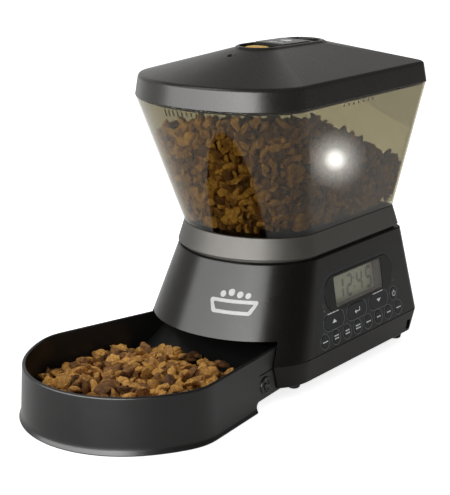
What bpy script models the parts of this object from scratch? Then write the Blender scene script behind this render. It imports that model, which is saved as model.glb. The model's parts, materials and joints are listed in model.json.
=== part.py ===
"""Automatic pet feeder: bowl, battery base with dispenser, smoked hopper and lid.

Metres, +Z up. The origin is on the floor under the middle of the feeder. The bowl points to -Y
and the control panel faces +X.
"""
import math
from collections import namedtuple

import bmesh
import bpy
from mathutils import Matrix, Vector

# ---------------------------------------------------------------- driving dimensions
Station = namedtuple("Station", "z half_width front centre rear")

GAP = 0.0003            # gap kept between neighbouring pieces
WALL = 0.0024           # moulded housing wall
SIDE_TAPER = 0.08       # the sides draw in by this much for each metre towards the rear
REAR_CORNER = 0.0104    # plan radius of the rear corners
FRONT_STEPS = 20        # facets in the rounded front
CORNER_STEPS = 4        # facets in each rear corner

# plan of the housing at its horizontal edges, from the top down
LID_BROW = Station(0.2870, 0.0215, 0.0265, 0.0500, 0.1275)
LID_PLATEAU = Station(0.2890, 0.0195, 0.0290, 0.0500, 0.1250)
LID_CREASE = Station(0.2665, 0.0858, -0.0546, 0.0066, 0.2029)
LID_BOTTOM = Station(0.2482, 0.0891, -0.0570, 0.0066, 0.2041)
HOPPER_TOP = Station(0.2479, 0.0886, -0.0564, 0.0066, 0.2035)
HOPPER_BOTTOM = Station(0.1341, 0.0680, -0.0121, 0.0448, 0.1796)
COLLAR_TOP = Station(0.1338, 0.0680, -0.0121, 0.0448, 0.1796)
COLLAR_BOTTOM = Station(0.1159, 0.0726, -0.0195, 0.0448, 0.1832)
BODY_TOP = Station(0.1128, 0.0727, -0.0182, 0.0448, 0.1865)
BODY_BOTTOM = Station(0.0319, 0.0885, -0.0527, 0.0176, 0.1986)
TRAY_TOP = Station(0.0316, 0.0885, -0.0527, 0.0176, 0.1986)
TRAY_BOTTOM = Station(0.0105, 0.0859, -0.0485, 0.0176, 0.1928)

# lid
LID_WALL = 0.0026
CREASE_BEVEL = 0.0022
SHELF_WIDTH, SHELF_THICKNESS = 0.0062, 0.0018
PLATEAU_CORNER = 0.0180
RECESS_HALF_WIDTH = 0.0175
RECESS_FRONT, RECESS_REAR = 0.0320, 0.1220
BAR_FRONT, BAR_REAR = 0.0610, 0.1010
RECESS_DEPTH = 0.0150
WELL_WALL = 0.0022
VENT_RADIUS, VENT_Y = 0.0026, 0.0126
LABEL_THICKNESS = 0.0005
SEAL_HEIGHT, SEAL_THICKNESS = 0.0044, 0.0022
LATCH_HALF_WIDTH, LATCH_FRONT, LATCH_REAR = 0.0100, 0.0375, 0.0545
LATCH_TOP, LATCH_BOTTOM = 0.2882, 0.2846
LATCH_CORNER = 0.0060
SPRING_RADIUS, SPRING_WIRE, SPRING_TURNS = 0.0032, 0.0005, 4

# hopper neck, outlet and collar
NECK_INSET = 0.0035
NECK_BOTTOM_Z = 0.1256
FUNNEL_TOP_Z = 0.1280
OUTLET = Station(0.1143, 0.0260, 0.0240, 0.0340, 0.0560)
OUTLET_TOP_Z = 0.1170
SPIGOT_INSET = 0.0040

# bowl
BOWL_RIM_Z = 0.0472
BOWL_HALF_WIDTH = 0.0905
BOWL_CENTRE_Y = -0.1062
BOWL_FRONT_Y = -0.2000
BOWL_REAR_Y = 0.0060
BOWL_TAPER = 0.18
BOWL_FLARE = 0.0041
BOWL_DRAFT = 0.0026         # the sides stand out by this much at the floor
BOWL_WALL = 0.0033
BOWL_FLOOR_Z = 0.0120
BOWL_FLOOR_THICKNESS = 0.0030
BOWL_STEP_Y = -0.0460       # the underside is raised behind this line
BOWL_STEP_Z = 0.0090
RAMP_FOOT_Y = -0.0325
RAMP_SLOPE = 0.732
RAMP_TOP_Y = 0.0030
RAMP_DEPTH = 0.0040         # height between the ramp's face and its underside
TAB_SLIT_Y, TAB_SLIT_Z, TAB_SLIT_HEIGHT = -0.0400, 0.0300, 0.0010
TAB_PAD_Y, TAB_PAD_Z = -0.0275, 0.0190
TAB_PAD_RADIUS = 0.0058

# opening for the bowl
ARCH_CLEARANCE = 0.0009
ARCH_TOP_Z = 0.0518
NOTCH_REAR_Y = 0.0084
THROAT_SIZE = (0.0600, 0.0420)      # hole in the deck for the dispenser's inlet

# feet, screws and inlet
FOOT_RADIUS, FOOT_TIP_RADIUS, FOOT_HEIGHT = 0.0064, 0.0050, 0.0102
FRONT_FEET = (0.0670, 0.0200)
REAR_FEET = (0.0570, 0.1852)
SCREW_POSTS = ((0.0788, 0.0180), (0.0660, 0.1735))
POST_RADIUS, SCREW_RADIUS, SCREW_HEAD_RADIUS = 0.0040, 0.0014, 0.0028
POST_TOP_Z, POST_WEB_Z = 0.0440, 0.0480
INLET_Y, INLET_Z, INLET_FACE_X = 0.1820, 0.0182, 0.0708

# dispenser
ROTOR_Y, ROTOR_Z = 0.0400, 0.0905
ROTOR_RADIUS, DRUM_RADIUS, DRUM_OUTER_RADIUS = 0.0169, 0.0177, 0.0195
MOUTH_HALF_WIDTH, MOUTH_HALF_DEPTH = 0.0262, 0.0170
ROTOR_HALF_LENGTH, DRUM_HALF_LENGTH, DRUM_OUTER_HALF_LENGTH = 0.0298, 0.0305, 0.0335
VANES, VANE_THICKNESS, HUB_RADIUS = 6, 0.0020, 0.0066
SHAFT_RADIUS, BUSH_RADIUS = 0.0040, 0.0065
SHAFT_ENDS = (-0.0460, 0.0400)
CHUTE_HALF_WIDTH, CHUTE_WALL = 0.0305, 0.0020
CHUTE_LIP_Y, CHUTE_LIP_Z = -0.0030, 0.0460

# gear train
MODULE = 0.00125
ROTOR_TEETH, IDLER_TEETH, PINION_TEETH = 28, 16, 12
GEAR_X, GEAR_WIDTH = -0.0445, 0.0060
IDLER_DIRECTION = math.radians(-15.0)
PINION_DIRECTION = math.radians(-40.0)
PLATE_X, PLATE_THICKNESS = -0.0366, 0.0022
MOTOR_RADIUS, MOTOR_LENGTH = 0.0120, 0.0420

# control panel, in its own axes: a to the rear, b up the panel, c out of it
PANEL_Y, PANEL_Z = 0.1000, 0.0600
PANEL_THICKNESS = 0.0022
FASCIA_CORNERS = (
    (-0.0742, -0.0264, 0.0015), (0.0702, -0.0264, 0.0015),
    (0.0640, 0.0375, 0.0240), (-0.0575, 0.0375, 0.0240),
)
BEZEL_LEFT, BEZEL_RIGHT, BEZEL_BOTTOM, BEZEL_TOP = -0.0530, 0.0580, 0.0025, 0.0345
BEZEL_RADIUS = 0.0150
WINDOW_CENTRE, WINDOW_SIZE, WINDOW_RADIUS = (0.0015, 0.0188), (0.0770, 0.0275), 0.0020
DISPLAY_DEPTH = 0.0096
LARGE_KEY_PITCH, LARGE_KEY_START, LARGE_KEY_B = 0.0367, -0.0434, -0.0048
LARGE_KEY_SIZE, LARGE_KEY_RADIUS = (0.0310, 0.0138), 0.0062
POWER_KEY, POWER_KEY_RADIUS = (0.0565, -0.0048), 0.0058
SMALL_KEY_PITCH, SMALL_KEY_START, SMALL_KEY_B = 0.0175, -0.0605, -0.0196
SMALL_KEY_RADIUS = 0.0061
KEY_PROUD, KEY_STEM_LENGTH, KEY_STEM_RADIUS = 0.0005, 0.0090, 0.0022
INDICATORS, INDICATOR_RADIUS = ((-0.0562, 0.0068), (0.0572, 0.0075)), 0.0012
BOARD_DEPTH, BOARD_THICKNESS = 0.0126, 0.0016
BOARD_CENTRE, BOARD_SIZE = (0.0, 0.0045), (0.1360, 0.0560)

# batteries
CELL_RADIUS, CELL_LENGTH = 0.0131, 0.0500
CELL_ROWS = (0.1180, 0.1456)
CELL_Z = 0.0270
BAY_HALF_LENGTH, BAY_FRONT, BAY_REAR = 0.0535, 0.1042, 0.1594
BOX_TOP_Z, BOX_WALL = 0.0430, 0.0016
DOOR_HALF_LENGTH, DOOR_FRONT, DOOR_HINGE_Y = 0.0529, 0.1048, 0.1588
CATCH_HALF_WIDTH, CATCH_REAR = 0.0100, 0.1100


# ---------------------------------------------------------------- materials
FINISHES = {
    "lid_plastic": ((0.045, 0.043, 0.039), 0.42, 0.0, 1.0),
    "body_plastic": ((0.020, 0.020, 0.019), 0.38, 0.0, 1.0),
    "bowl_plastic": ((0.040, 0.040, 0.040), 0.40, 0.0, 1.0),
    "hopper_plastic": ((0.30, 0.29, 0.22), 0.08, 0.0, 0.35),
    "collar_paint": ((0.16, 0.155, 0.145), 0.40, 0.6, 1.0),
    "fascia_plastic": ((0.030, 0.032, 0.035), 0.45, 0.0, 1.0),
    "key_plastic": ((0.032, 0.034, 0.037), 0.45, 0.0, 1.0),
    "bezel_gloss": ((0.012, 0.012, 0.011), 0.15, 0.0, 1.0),
    "window_clear": ((0.80, 0.82, 0.80), 0.03, 0.0, 0.25),
    "well_plastic": ((0.18, 0.17, 0.15), 0.6, 0.0, 1.0),
    "lcd_face": ((0.30, 0.29, 0.20), 0.3, 0.0, 1.0),
    "indicator": ((0.10, 0.12, 0.07), 0.3, 0.0, 1.0),
    "amber_plastic": ((0.75, 0.42, 0.06), 0.35, 0.0, 1.0),
    "label_metal": ((0.45, 0.45, 0.45), 0.35, 0.8, 1.0),
    "seal_rubber": ((0.06, 0.06, 0.06), 0.7, 0.0, 1.0),
    "foot_rubber": ((0.02, 0.02, 0.02), 0.8, 0.0, 1.0),
    "inner_plastic": ((0.03, 0.03, 0.03), 0.5, 0.0, 1.0),
    "gear_plastic": ((0.80, 0.78, 0.72), 0.45, 0.0, 1.0),
    "rotor_plastic": ((0.10, 0.10, 0.10), 0.5, 0.0, 1.0),
    "steel": ((0.55, 0.55, 0.56), 0.30, 1.0, 1.0),
    "brass": ((0.70, 0.50, 0.20), 0.30, 1.0, 1.0),
    "board_green": ((0.02, 0.16, 0.07), 0.5, 0.0, 1.0),
    "cell_jacket": ((0.25, 0.25, 0.27), 0.4, 0.2, 1.0),
}


def material(name):
    """Principled material of that name, made once."""
    if name in bpy.data.materials:
        return bpy.data.materials[name]
    colour, roughness, metallic, alpha = FINISHES[name]
    made = bpy.data.materials.new(name)
    made.use_nodes = True
    shader = made.node_tree.nodes["Principled BSDF"]
    shader.inputs["Base Color"].default_value = (*colour, 1.0)
    shader.inputs["Roughness"].default_value = roughness
    shader.inputs["Metallic"].default_value = metallic
    shader.inputs["Alpha"].default_value = alpha
    made.diffuse_color = (*colour, alpha)
    return made


# ---------------------------------------------------------------- shape tools
def object_from(bm, name):
    """New object holding the bmesh, with its faces pointing out."""
    bmesh.ops.recalc_face_normals(bm, faces=bm.faces)
    mesh = bpy.data.meshes.new(name)
    bm.to_mesh(mesh)
    bm.free()
    made = bpy.data.objects.new(name, mesh)
    bpy.context.collection.objects.link(made)
    return made


def finish(piece, finish_name, origin=(0, 0, 0), parent=None):
    """Give a piece its material, its origin and its parent, and shade it by angle."""
    offset = Vector(origin)
    piece.data.transform(Matrix.Translation(-offset))
    piece.location = offset
    piece.data.materials.clear()
    piece.data.materials.append(material(finish_name))
    piece.data.shade_smooth()
    piece.data.set_sharp_from_angle(angle=math.radians(35))
    if parent is not None:
        piece.parent = parent
        piece.matrix_parent_inverse = parent.matrix_world.inverted()
    return piece


def loft(name, rings, wrap=False):
    """Skin through closed rings of equal length. wrap joins the last ring to the first."""
    bm = bmesh.new()
    rows = [[bm.verts.new(point) for point in ring] for ring in rings]
    pairs = list(zip(rows, rows[1:]))
    if wrap:
        pairs.append((rows[-1], rows[0]))
    count = len(rows[0])
    for lower, upper in pairs:
        for index in range(count):
            after = (index + 1) % count
            bm.faces.new((lower[index], lower[after], upper[after], upper[index]))
    if not wrap:
        bm.faces.new(rows[0])
        bm.faces.new(rows[-1])
    return object_from(bm, name)


def prism(name, outline, axis, low, high):
    """Extrude a plan outline (two coordinates a point) along an axis, from low to high."""
    order = {"x": lambda p, h: (h, p[0], p[1]), "y": lambda p, h: (p[0], h, p[1]),
             "z": lambda p, h: (p[0], p[1], h)}[axis]
    return loft(name, [[order(point, height) for point in outline] for height in (low, high)])


def box(name, low, high):
    """Rectangular block between two corners."""
    plan = [(low[0], low[1]), (high[0], low[1]), (high[0], high[1]), (low[0], high[1])]
    return prism(name, plan, "z", low[2], high[2])


def circle(radius, steps, centre=(0.0, 0.0), phase=0.0):
    """Points of a regular polygon, in order."""
    turns = [phase + 2 * math.pi * index / steps for index in range(steps)]
    return [(centre[0] + radius * math.cos(t), centre[1] + radius * math.sin(t)) for t in turns]


def turned(name, profile, steps, axis="z", centre=(0.0, 0.0)):
    """Solid of revolution: profile is (radius, height) pairs along the axis."""
    order = {"x": lambda p, h: (h, p[0], p[1]), "z": lambda p, h: (p[0], p[1], h)}[axis]
    rings = [[order(p, height) for p in circle(radius, steps, centre)] for radius, height in profile]
    return loft(name, rings)


def tube(name, outer, inner, low, high, steps, axis="x", centre=(0.0, 0.0)):
    """Plain ring of two radii."""
    order = {"x": lambda p, h: (h, p[0], p[1]), "z": lambda p, h: (p[0], p[1], h)}[axis]
    corners = ((outer, low), (outer, high), (inner, high), (inner, low))
    rings = [[order(p, height) for p in circle(radius, steps, centre)] for radius, height in corners]
    return loft(name, rings, wrap=True)


def boolean(piece, tool, operation):
    """Apply a Boolean to the piece and drop the tool."""
    step = piece.modifiers.new(operation.lower(), "BOOLEAN")
    step.operation = operation
    step.solver = "EXACT"
    step.object = tool
    bpy.context.view_layer.update()
    graph = bpy.context.evaluated_depsgraph_get()
    result = bpy.data.meshes.new_from_object(piece.evaluated_get(graph))
    piece.modifiers.clear()
    piece.data = result
    bpy.data.objects.remove(tool)
    return piece


def cut(piece, *tools):
    for tool in tools:
        boolean(piece, tool, "DIFFERENCE")
    return piece


def join(piece, *tools):
    for tool in tools:
        boolean(piece, tool, "UNION")
    return piece


def arc(centre, radius, start, end, steps):
    """Points of a circular arc, both ends included. Angles are in radians."""
    turns = [start + (end - start) * index / steps for index in range(steps + 1)]
    return [(centre[0] + radius * math.cos(t), centre[1] + radius * math.sin(t)) for t in turns]


def rounded_polygon(corners, steps=6):
    """Outline through corners given as (x, y, fillet radius), counter-clockwise."""
    points = []
    count = len(corners)
    for index, (x, y, radius) in enumerate(corners):
        here = Vector((x, y))
        to_last = (Vector(corners[index - 1][:2]) - here).normalized()
        to_next = (Vector(corners[(index + 1) % count][:2]) - here).normalized()
        half_angle = to_last.angle(to_next) / 2
        middle = here + (to_last + to_next).normalized() * (radius / math.sin(half_angle))
        start = here + to_last * (radius / math.tan(half_angle)) - middle
        turn = math.pi - 2 * half_angle
        for step in range(steps + 1):
            angle = turn * step / steps
            spoke = Vector((start.x * math.cos(angle) - start.y * math.sin(angle),
                            start.x * math.sin(angle) + start.y * math.cos(angle)))
            points.append(tuple(middle + spoke))
    return points


def rounded_rectangle(centre, size, radius, steps=6):
    """Outline of a rectangle with round corners."""
    half_x, half_y = size[0] / 2, size[1] / 2
    signs = ((-1, -1), (1, -1), (1, 1), (-1, 1))
    corners = [(centre[0] + half_x * i, centre[1] + half_y * j, radius) for i, j in signs]
    return rounded_polygon(corners, steps)


# ---------------------------------------------------------------- housing plan
def plan_ring(station, inset=0.0, corner=REAR_CORNER, z=None, taper=SIDE_TAPER):
    """Ring of the housing: half ellipse in front, converging sides and rounded rear corners."""
    height = station.z if z is None else z
    half = station.half_width - inset
    front = station.front + inset
    rear = station.rear - inset
    radius = max(corner - inset, 0.0015)
    lean = math.atan(taper)

    def side_at(y):
        return half - taper * (y - station.centre)

    # centre of the rear corner's arc: tangent to the leaning side and to the rear edge
    arc_y = rear - radius
    arc_x = side_at(arc_y) - radius / math.cos(lean)
    right = arc((arc_x, arc_y), radius, lean, math.pi / 2, CORNER_STEPS)
    left = [(-x, y) for x, y in reversed(right)]
    depth = station.centre - front
    nose = [(half * math.cos(t), station.centre - depth * math.sin(t))
            for t in (math.pi - math.pi * k / FRONT_STEPS for k in range(FRONT_STEPS + 1))]
    return [(x, y, height) for x, y in right + left + nose]


def blend_station(upper, lower, z):
    """Plan of a straight wall between two stations, at height z."""
    share = (upper.z - z) / (upper.z - lower.z)
    return Station(z, *[a + (b - a) * share for a, b in zip(upper[1:], lower[1:])])


def frame_empty(name, location=(0, 0, 0), parent=None):
    """Empty that a group of pieces hangs on."""
    made = bpy.data.objects.new(name, None)
    bpy.context.collection.objects.link(made)
    made.location = location
    made.parent = parent
    bpy.context.view_layer.update()
    return made


# ---------------------------------------------------------------- lid
def recess_outline(inset=0.0):
    """Stadium round both finger recesses."""
    radius = RECESS_HALF_WIDTH - inset
    front = (0.0, RECESS_FRONT + RECESS_HALF_WIDTH)
    rear = (0.0, RECESS_REAR - RECESS_HALF_WIDTH)
    return arc(rear, radius, 0, math.pi, 10) + arc(front, radius, math.pi, 2 * math.pi, 10)


def finger_well(rear):
    """Cutter for one of the two finger recesses."""
    bottom = LID_PLATEAU.z - RECESS_DEPTH
    well = prism("well", recess_outline(), "z", bottom, LID_PLATEAU.z + 0.005)
    low_y, high_y = (BAR_FRONT - 0.1, BAR_REAR) if rear else (BAR_FRONT, BAR_REAR + 0.1)
    return cut(well, box("bar_side", (-0.05, low_y, 0.2), (0.05, high_y, 0.35)))


def make_lid(parent):
    """Moulded cap: sloping top, creased skirt, two finger wells and a bar between them."""
    crease_low = blend_station(LID_CREASE, LID_BOTTOM, LID_CREASE.z - CREASE_BEVEL)
    crease_high = blend_station(LID_BROW, LID_CREASE, LID_CREASE.z + 0.0008)
    outer = [plan_ring(LID_BOTTOM), plan_ring(crease_low)]
    outer.append(plan_ring(LID_CREASE, 0.0008))
    outer.append(plan_ring(crease_high, 0.0004))
    outer.append(plan_ring(LID_BROW, 0, PLATEAU_CORNER, taper=0))
    outer.append(plan_ring(LID_PLATEAU, 0, PLATEAU_CORNER, taper=0))
    lid = loft("lid", outer)
    # inside, the wall stands on a shelf that covers the hopper's rim
    shelf_z = LID_BOTTOM.z + SHELF_THICKNESS
    inner = [plan_ring(LID_BOTTOM, SHELF_WIDTH, z=LID_BOTTOM.z - 0.001)]
    inner.append(plan_ring(LID_BOTTOM, SHELF_WIDTH, z=shelf_z))
    inner.append(plan_ring(LID_BOTTOM, LID_WALL + 0.0004, z=shelf_z + 0.0002))
    inner.append(plan_ring(LID_CREASE, LID_WALL, z=LID_CREASE.z - LID_WALL))
    inner.append(plan_ring(LID_BROW, 0, PLATEAU_CORNER, z=LID_BROW.z - LID_WALL, taper=0))
    cavity = loft("cavity", inner)
    block = prism("block", recess_outline(-WELL_WALL), "z", LID_PLATEAU.z - RECESS_DEPTH - WELL_WALL, 0.30)
    cut(cavity, block)
    cut(lid, cavity, finger_well(rear=False), finger_well(rear=True))
    vent = prism("vent", circle(VENT_RADIUS, 12, (0.0, VENT_Y)), "z", 0.27, 0.30)
    cut(lid, vent)
    return finish(lid, "lid_plastic", (0, 0, LID_BOTTOM.z), parent)


def make_lid_seal(parent):
    """Soft lip below the lid's shelf that fits inside the hopper's mouth."""
    bottom = blend_station(HOPPER_TOP, HOPPER_BOTTOM, HOPPER_TOP.z - SEAL_HEIGHT)
    outer, inner = WALL + 0.0008, WALL + 0.0008 + SEAL_THICKNESS
    rings = [plan_ring(HOPPER_TOP, outer), plan_ring(bottom, outer), plan_ring(bottom, inner),
             plan_ring(HOPPER_TOP, inner)]
    return finish(loft("lid_seal", rings, wrap=True), "seal_rubber", (0, 0, LID_BOTTOM.z), parent)


def make_label_plate(parent):
    """Thin plate let into the bar between the finger recesses."""
    centre_y = (BAR_FRONT + BAR_REAR) / 2
    size = (2 * RECESS_HALF_WIDTH - 0.002, BAR_REAR - BAR_FRONT - 0.002)
    outline = rounded_rectangle((0, centre_y), size, 0.0015, 3)
    low = LID_PLATEAU.z + GAP
    plate = prism("lid_label_plate", outline, "z", low, low + LABEL_THICKNESS)
    return finish(plate, "label_metal", (0, 0, low), parent)


def make_latch(parent):
    """Amber push button in the front recess, and the stem that its spring sits on."""
    size = (2 * LATCH_HALF_WIDTH, LATCH_REAR - LATCH_FRONT)
    middle_y = (LATCH_FRONT + LATCH_REAR) / 2
    rings = []
    for z, inset in ((LATCH_BOTTOM, 0.0), (LATCH_TOP - 0.0008, 0.0), (LATCH_TOP, 0.0010)):
        plan_size = (size[0] - 2 * inset, size[1] - 2 * inset)
        plan = rounded_rectangle((0, middle_y), plan_size, LATCH_CORNER - inset, 4)
        rings.append([(x, y, z) for x, y in plan])
    button = finish(loft("lid_latch_button", rings), "amber_plastic", (0, middle_y, LATCH_BOTTOM), parent)
    floor_z = LID_PLATEAU.z - RECESS_DEPTH
    length = LATCH_BOTTOM - floor_z - 2 * GAP - 2 * SPRING_WIRE
    steps = SPRING_TURNS * 10
    helix = []
    for index in range(steps + 1):
        turn = 2 * math.pi * SPRING_TURNS * index / steps
        z = floor_z + GAP + SPRING_WIRE + length * index / steps
        helix.append((SPRING_RADIUS * math.cos(turn), middle_y + SPRING_RADIUS * math.sin(turn), z))
    wire = [coil_section(helix, index) for index in range(len(helix))]
    spring = finish(loft("latch_spring", wire), "steel", (0, middle_y, floor_z), parent)
    return button, spring


def coil_section(path, index):
    """Hexagonal cross-section of a wire square to its path at one of its points."""
    here = Vector(path[index])
    ahead = Vector(path[min(index + 1, len(path) - 1)]) - Vector(path[max(index - 1, 0)])
    side = ahead.cross(Vector((0, 0, 1))).normalized()
    up = side.cross(ahead).normalized()
    return [here + (side * x + up * y) for x, y in circle(SPRING_WIRE, 6)]


# ---------------------------------------------------------------- hopper and collar
def make_hopper(parent):
    """Clear bin: sloping walls, a neck inside the collar and a funnel floor with an outlet."""
    outlet_outer = Station(OUTLET.z, OUTLET.half_width + WALL, OUTLET.front - WALL, OUTLET.centre,
                           OUTLET.rear + WALL)
    rings = [
        plan_ring(HOPPER_TOP),
        plan_ring(HOPPER_BOTTOM),
        plan_ring(HOPPER_BOTTOM, NECK_INSET),
        plan_ring(HOPPER_BOTTOM, NECK_INSET, z=NECK_BOTTOM_Z),
        plan_ring(outlet_outer, 0, 0.006, z=OUTLET.z + 0.0008),
        plan_ring(outlet_outer, 0, 0.006),
        plan_ring(OUTLET, 0, 0.0036),
        plan_ring(OUTLET, 0, 0.0036, z=OUTLET_TOP_Z),
        plan_ring(HOPPER_BOTTOM, NECK_INSET + WALL, z=FUNNEL_TOP_Z),
        plan_ring(HOPPER_BOTTOM, NECK_INSET + WALL, z=HOPPER_BOTTOM.z + 0.0015),
        plan_ring(HOPPER_TOP, WALL),
    ]
    return finish(loft("hopper", rings, wrap=True), "hopper_plastic", (0, 0, HOPPER_BOTTOM.z), parent)


def make_collar(parent):
    """Metallic ring that carries the hopper, with an inset spigot over the body."""
    bore = NECK_INSET - GAP
    rings = [
        plan_ring(COLLAR_TOP),
        plan_ring(COLLAR_BOTTOM),
        plan_ring(COLLAR_BOTTOM, SPIGOT_INSET),
        plan_ring(COLLAR_BOTTOM, SPIGOT_INSET, z=BODY_TOP.z + GAP),
        plan_ring(COLLAR_TOP, bore, z=BODY_TOP.z + GAP),
        plan_ring(COLLAR_TOP, bore),
    ]
    return finish(loft("collar_ring", rings, wrap=True), "collar_paint", parent=parent)


# ---------------------------------------------------------------- body and base tray
def panel_matrix():
    """Axes of the control panel: on the right wall, a to the rear, b up and c outwards."""
    rise = (BODY_BOTTOM.half_width + SIDE_TAPER * BODY_BOTTOM.centre
            - BODY_TOP.half_width - SIDE_TAPER * BODY_TOP.centre) / (BODY_TOP.z - BODY_BOTTOM.z)
    outward = Vector((1.0, SIDE_TAPER, rise)).normalized()
    along = Vector((-SIDE_TAPER, 1.0, 0.0)).normalized()
    upward = outward.cross(along)
    here = blend_station(BODY_TOP, BODY_BOTTOM, PANEL_Z)
    x = here.half_width - SIDE_TAPER * (PANEL_Y - here.centre)
    turn = Matrix((along, upward, outward)).transposed().to_4x4()
    return Matrix.Translation((x, PANEL_Y, PANEL_Z)) @ turn


def grown(corners, amount):
    """Panel corners moved out from the panel's middle by an amount on each side."""
    return [(x + math.copysign(amount, x), y + math.copysign(amount, y), radius + amount)
            for x, y, radius in corners]


def make_upper_body(parent):
    """Housing shell with a deck on top, an arch for the bowl and an opening for the panel."""
    body = loft("upper_body", [plan_ring(BODY_BOTTOM), plan_ring(BODY_TOP, z=BODY_TOP.z - 0.0008),
                               plan_ring(BODY_TOP, 0.0008)])
    below = BODY_BOTTOM._replace(z=BODY_BOTTOM.z - 0.001)
    cavity = loft("cavity", [plan_ring(below, WALL), plan_ring(BODY_TOP, WALL, z=BODY_TOP.z - WALL)])
    cut(body, cavity)
    cut(body, bowl_space())
    throat = prism("throat", rounded_rectangle((0, ROTOR_Y), THROAT_SIZE, 0.003, 3), "z", 0.105, 0.12)
    cut(body, throat)
    opening = prism("opening", rounded_polygon(grown(FASCIA_CORNERS, GAP)), "z", -0.004, 0.004)
    opening.matrix_world = panel_matrix()
    cut(body, opening)
    for x, y in SCREW_POSTS:
        for side in (1, -1):
            join(body, screw_post(x * side, y))
    return finish(body, "body_plastic", parent=parent)


def screw_post(x, y):
    """Round post with a web to the side wall, bored from below for a case screw."""
    low = TRAY_BOTTOM.z + WALL + GAP
    reach = blend_station(BODY_TOP, BODY_BOTTOM, POST_WEB_Z)
    wall_x = reach.half_width - SIDE_TAPER * max(y - reach.centre, 0.0) - WALL
    post = prism("post", circle(POST_RADIUS, 12, (x, y)), "z", low, POST_TOP_Z)
    ends = sorted((x, math.copysign(wall_x, x)))
    web = box("web", (ends[0], y - 0.001, TRAY_TOP.z + 0.003), (ends[1], y + 0.001, POST_WEB_Z - 0.001))
    join(post, web)
    bore = prism("bore", circle(SCREW_RADIUS + GAP, 8, (x, y)), "z", low - 0.001, low + 0.013)
    return cut(post, bore)


def bowl_draft(z):
    """How far the bowl's side stands out at height z, beyond its rim."""
    return BOWL_DRAFT * (BOWL_RIM_Z - z) / BOWL_RIM_Z


def bowl_space(extra=0.0):
    """Space for the rear of the bowl under the body, with its sides parallel to the bowl's."""
    front_y = -0.08
    rear_y = NOTCH_REAR_Y + extra

    def ring(z):
        edge = BOWL_HALF_WIDTH + ARCH_CLEARANCE + bowl_draft(z) + extra
        rear, front = (edge - BOWL_TAPER * (y - BOWL_CENTRE_Y) for y in (rear_y, front_y))
        return [(-rear, rear_y, z), (-front, front_y, z), (front, front_y, z), (rear, rear_y, z)]

    return loft("bowl_space", [ring(0.0), ring(ARCH_TOP_Z)])


def make_base_tray(parent):
    """Lower housing: floor, walls, a notch for the bowl, the battery opening and a lead notch."""
    tray = loft("base_tray", [plan_ring(TRAY_BOTTOM), plan_ring(TRAY_TOP)])
    floor_z = TRAY_BOTTOM.z + WALL
    above = TRAY_TOP._replace(z=TRAY_TOP.z + 0.001)
    cavity = loft("cavity", [plan_ring(TRAY_BOTTOM, WALL, z=floor_z), plan_ring(above, WALL)])
    cut(cavity, bowl_space(WALL))
    cut(tray, cavity, bowl_space())
    cut(tray, box("battery_opening", (-DOOR_HALF_LENGTH - GAP, DOOR_FRONT - GAP, 0.0),
                  (DOOR_HALF_LENGTH + GAP, DOOR_HINGE_Y + GAP, 0.02)))
    for x, y in SCREW_POSTS:
        for side in (1, -1):
            hole = prism("hole", circle(SCREW_RADIUS + GAP, 8, (x * side, y)), "z", 0.0, 0.02)
            cut(tray, hole)
    cut(tray, box("lead_opening", (INLET_FACE_X - 0.0022, INLET_Y - 0.0032, INLET_Z - 0.0045),
                  (0.0900, INLET_Y + 0.0032, INLET_Z + 0.0045)))
    return finish(tray, "body_plastic", parent=parent)


def make_feet(parent):
    """Four rubber feet under the tray's floor."""
    profile = ((FOOT_TIP_RADIUS, 0.0), (FOOT_RADIUS, 0.0022), (FOOT_RADIUS, FOOT_HEIGHT))
    for row, (x, y) in (("front", FRONT_FEET), ("rear", REAR_FEET)):
        for side, name in ((1, "right"), (-1, "left")):
            foot = turned(f"foot_{row}_{name}", profile, 14, centre=(x * side, y))
            finish(foot, "foot_rubber", (x * side, y, 0), parent)


def make_screws(parent):
    """Case screws that pull the tray up against the posts."""
    head_top = TRAY_BOTTOM.z - GAP
    profile = ((SCREW_HEAD_RADIUS * 0.7, head_top - 0.0020), (SCREW_HEAD_RADIUS, head_top - 0.0012),
               (SCREW_HEAD_RADIUS, head_top), (SCREW_RADIUS, head_top), (SCREW_RADIUS, head_top + 0.0125),
               (0.0006, head_top + 0.0140))
    for row, (x, y) in zip(("front", "rear"), SCREW_POSTS):
        for side, name in ((1, "right"), (-1, "left")):
            screw = turned(f"case_screw_{row}_{name}", profile, 8, centre=(x * side, y))
            finish(screw, "steel", (x * side, y, head_top), parent)


def make_inlet(parent):
    """Socket for a low-voltage supply, behind the notch in the tray's right wall."""
    rear_x = INLET_FACE_X - 0.0122
    block = box("supply_inlet", (rear_x, INLET_Y - 0.0028, INLET_Z - 0.0042),
                (INLET_FACE_X, INLET_Y + 0.0028, INLET_Z + 0.0042))
    socket = prism("socket", circle(0.0018, 12, (INLET_Y, INLET_Z)), "x", rear_x + 0.0040, 0.0800)
    cut(block, socket)
    finish(block, "inner_plastic", (rear_x, INLET_Y, INLET_Z), parent)


# ---------------------------------------------------------------- bowl
def bowl_ring(z, offset, rear=BOWL_REAR_Y):
    """Ring of the bowl: half ellipse in front and sides that converge to a straight rear."""
    half = BOWL_HALF_WIDTH + offset
    front = BOWL_FRONT_Y - offset
    rear_half = half - BOWL_TAPER * (rear - BOWL_CENTRE_Y)
    depth = BOWL_CENTRE_Y - front
    nose = [(half * math.cos(t), BOWL_CENTRE_Y - depth * math.sin(t))
            for t in (math.pi - math.pi * k / (FRONT_STEPS + 4) for k in range(FRONT_STEPS + 5))]
    return [(rear_half, rear, z), (-rear_half, rear, z)] + [(x, y, z) for x, y in nose]


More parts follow.
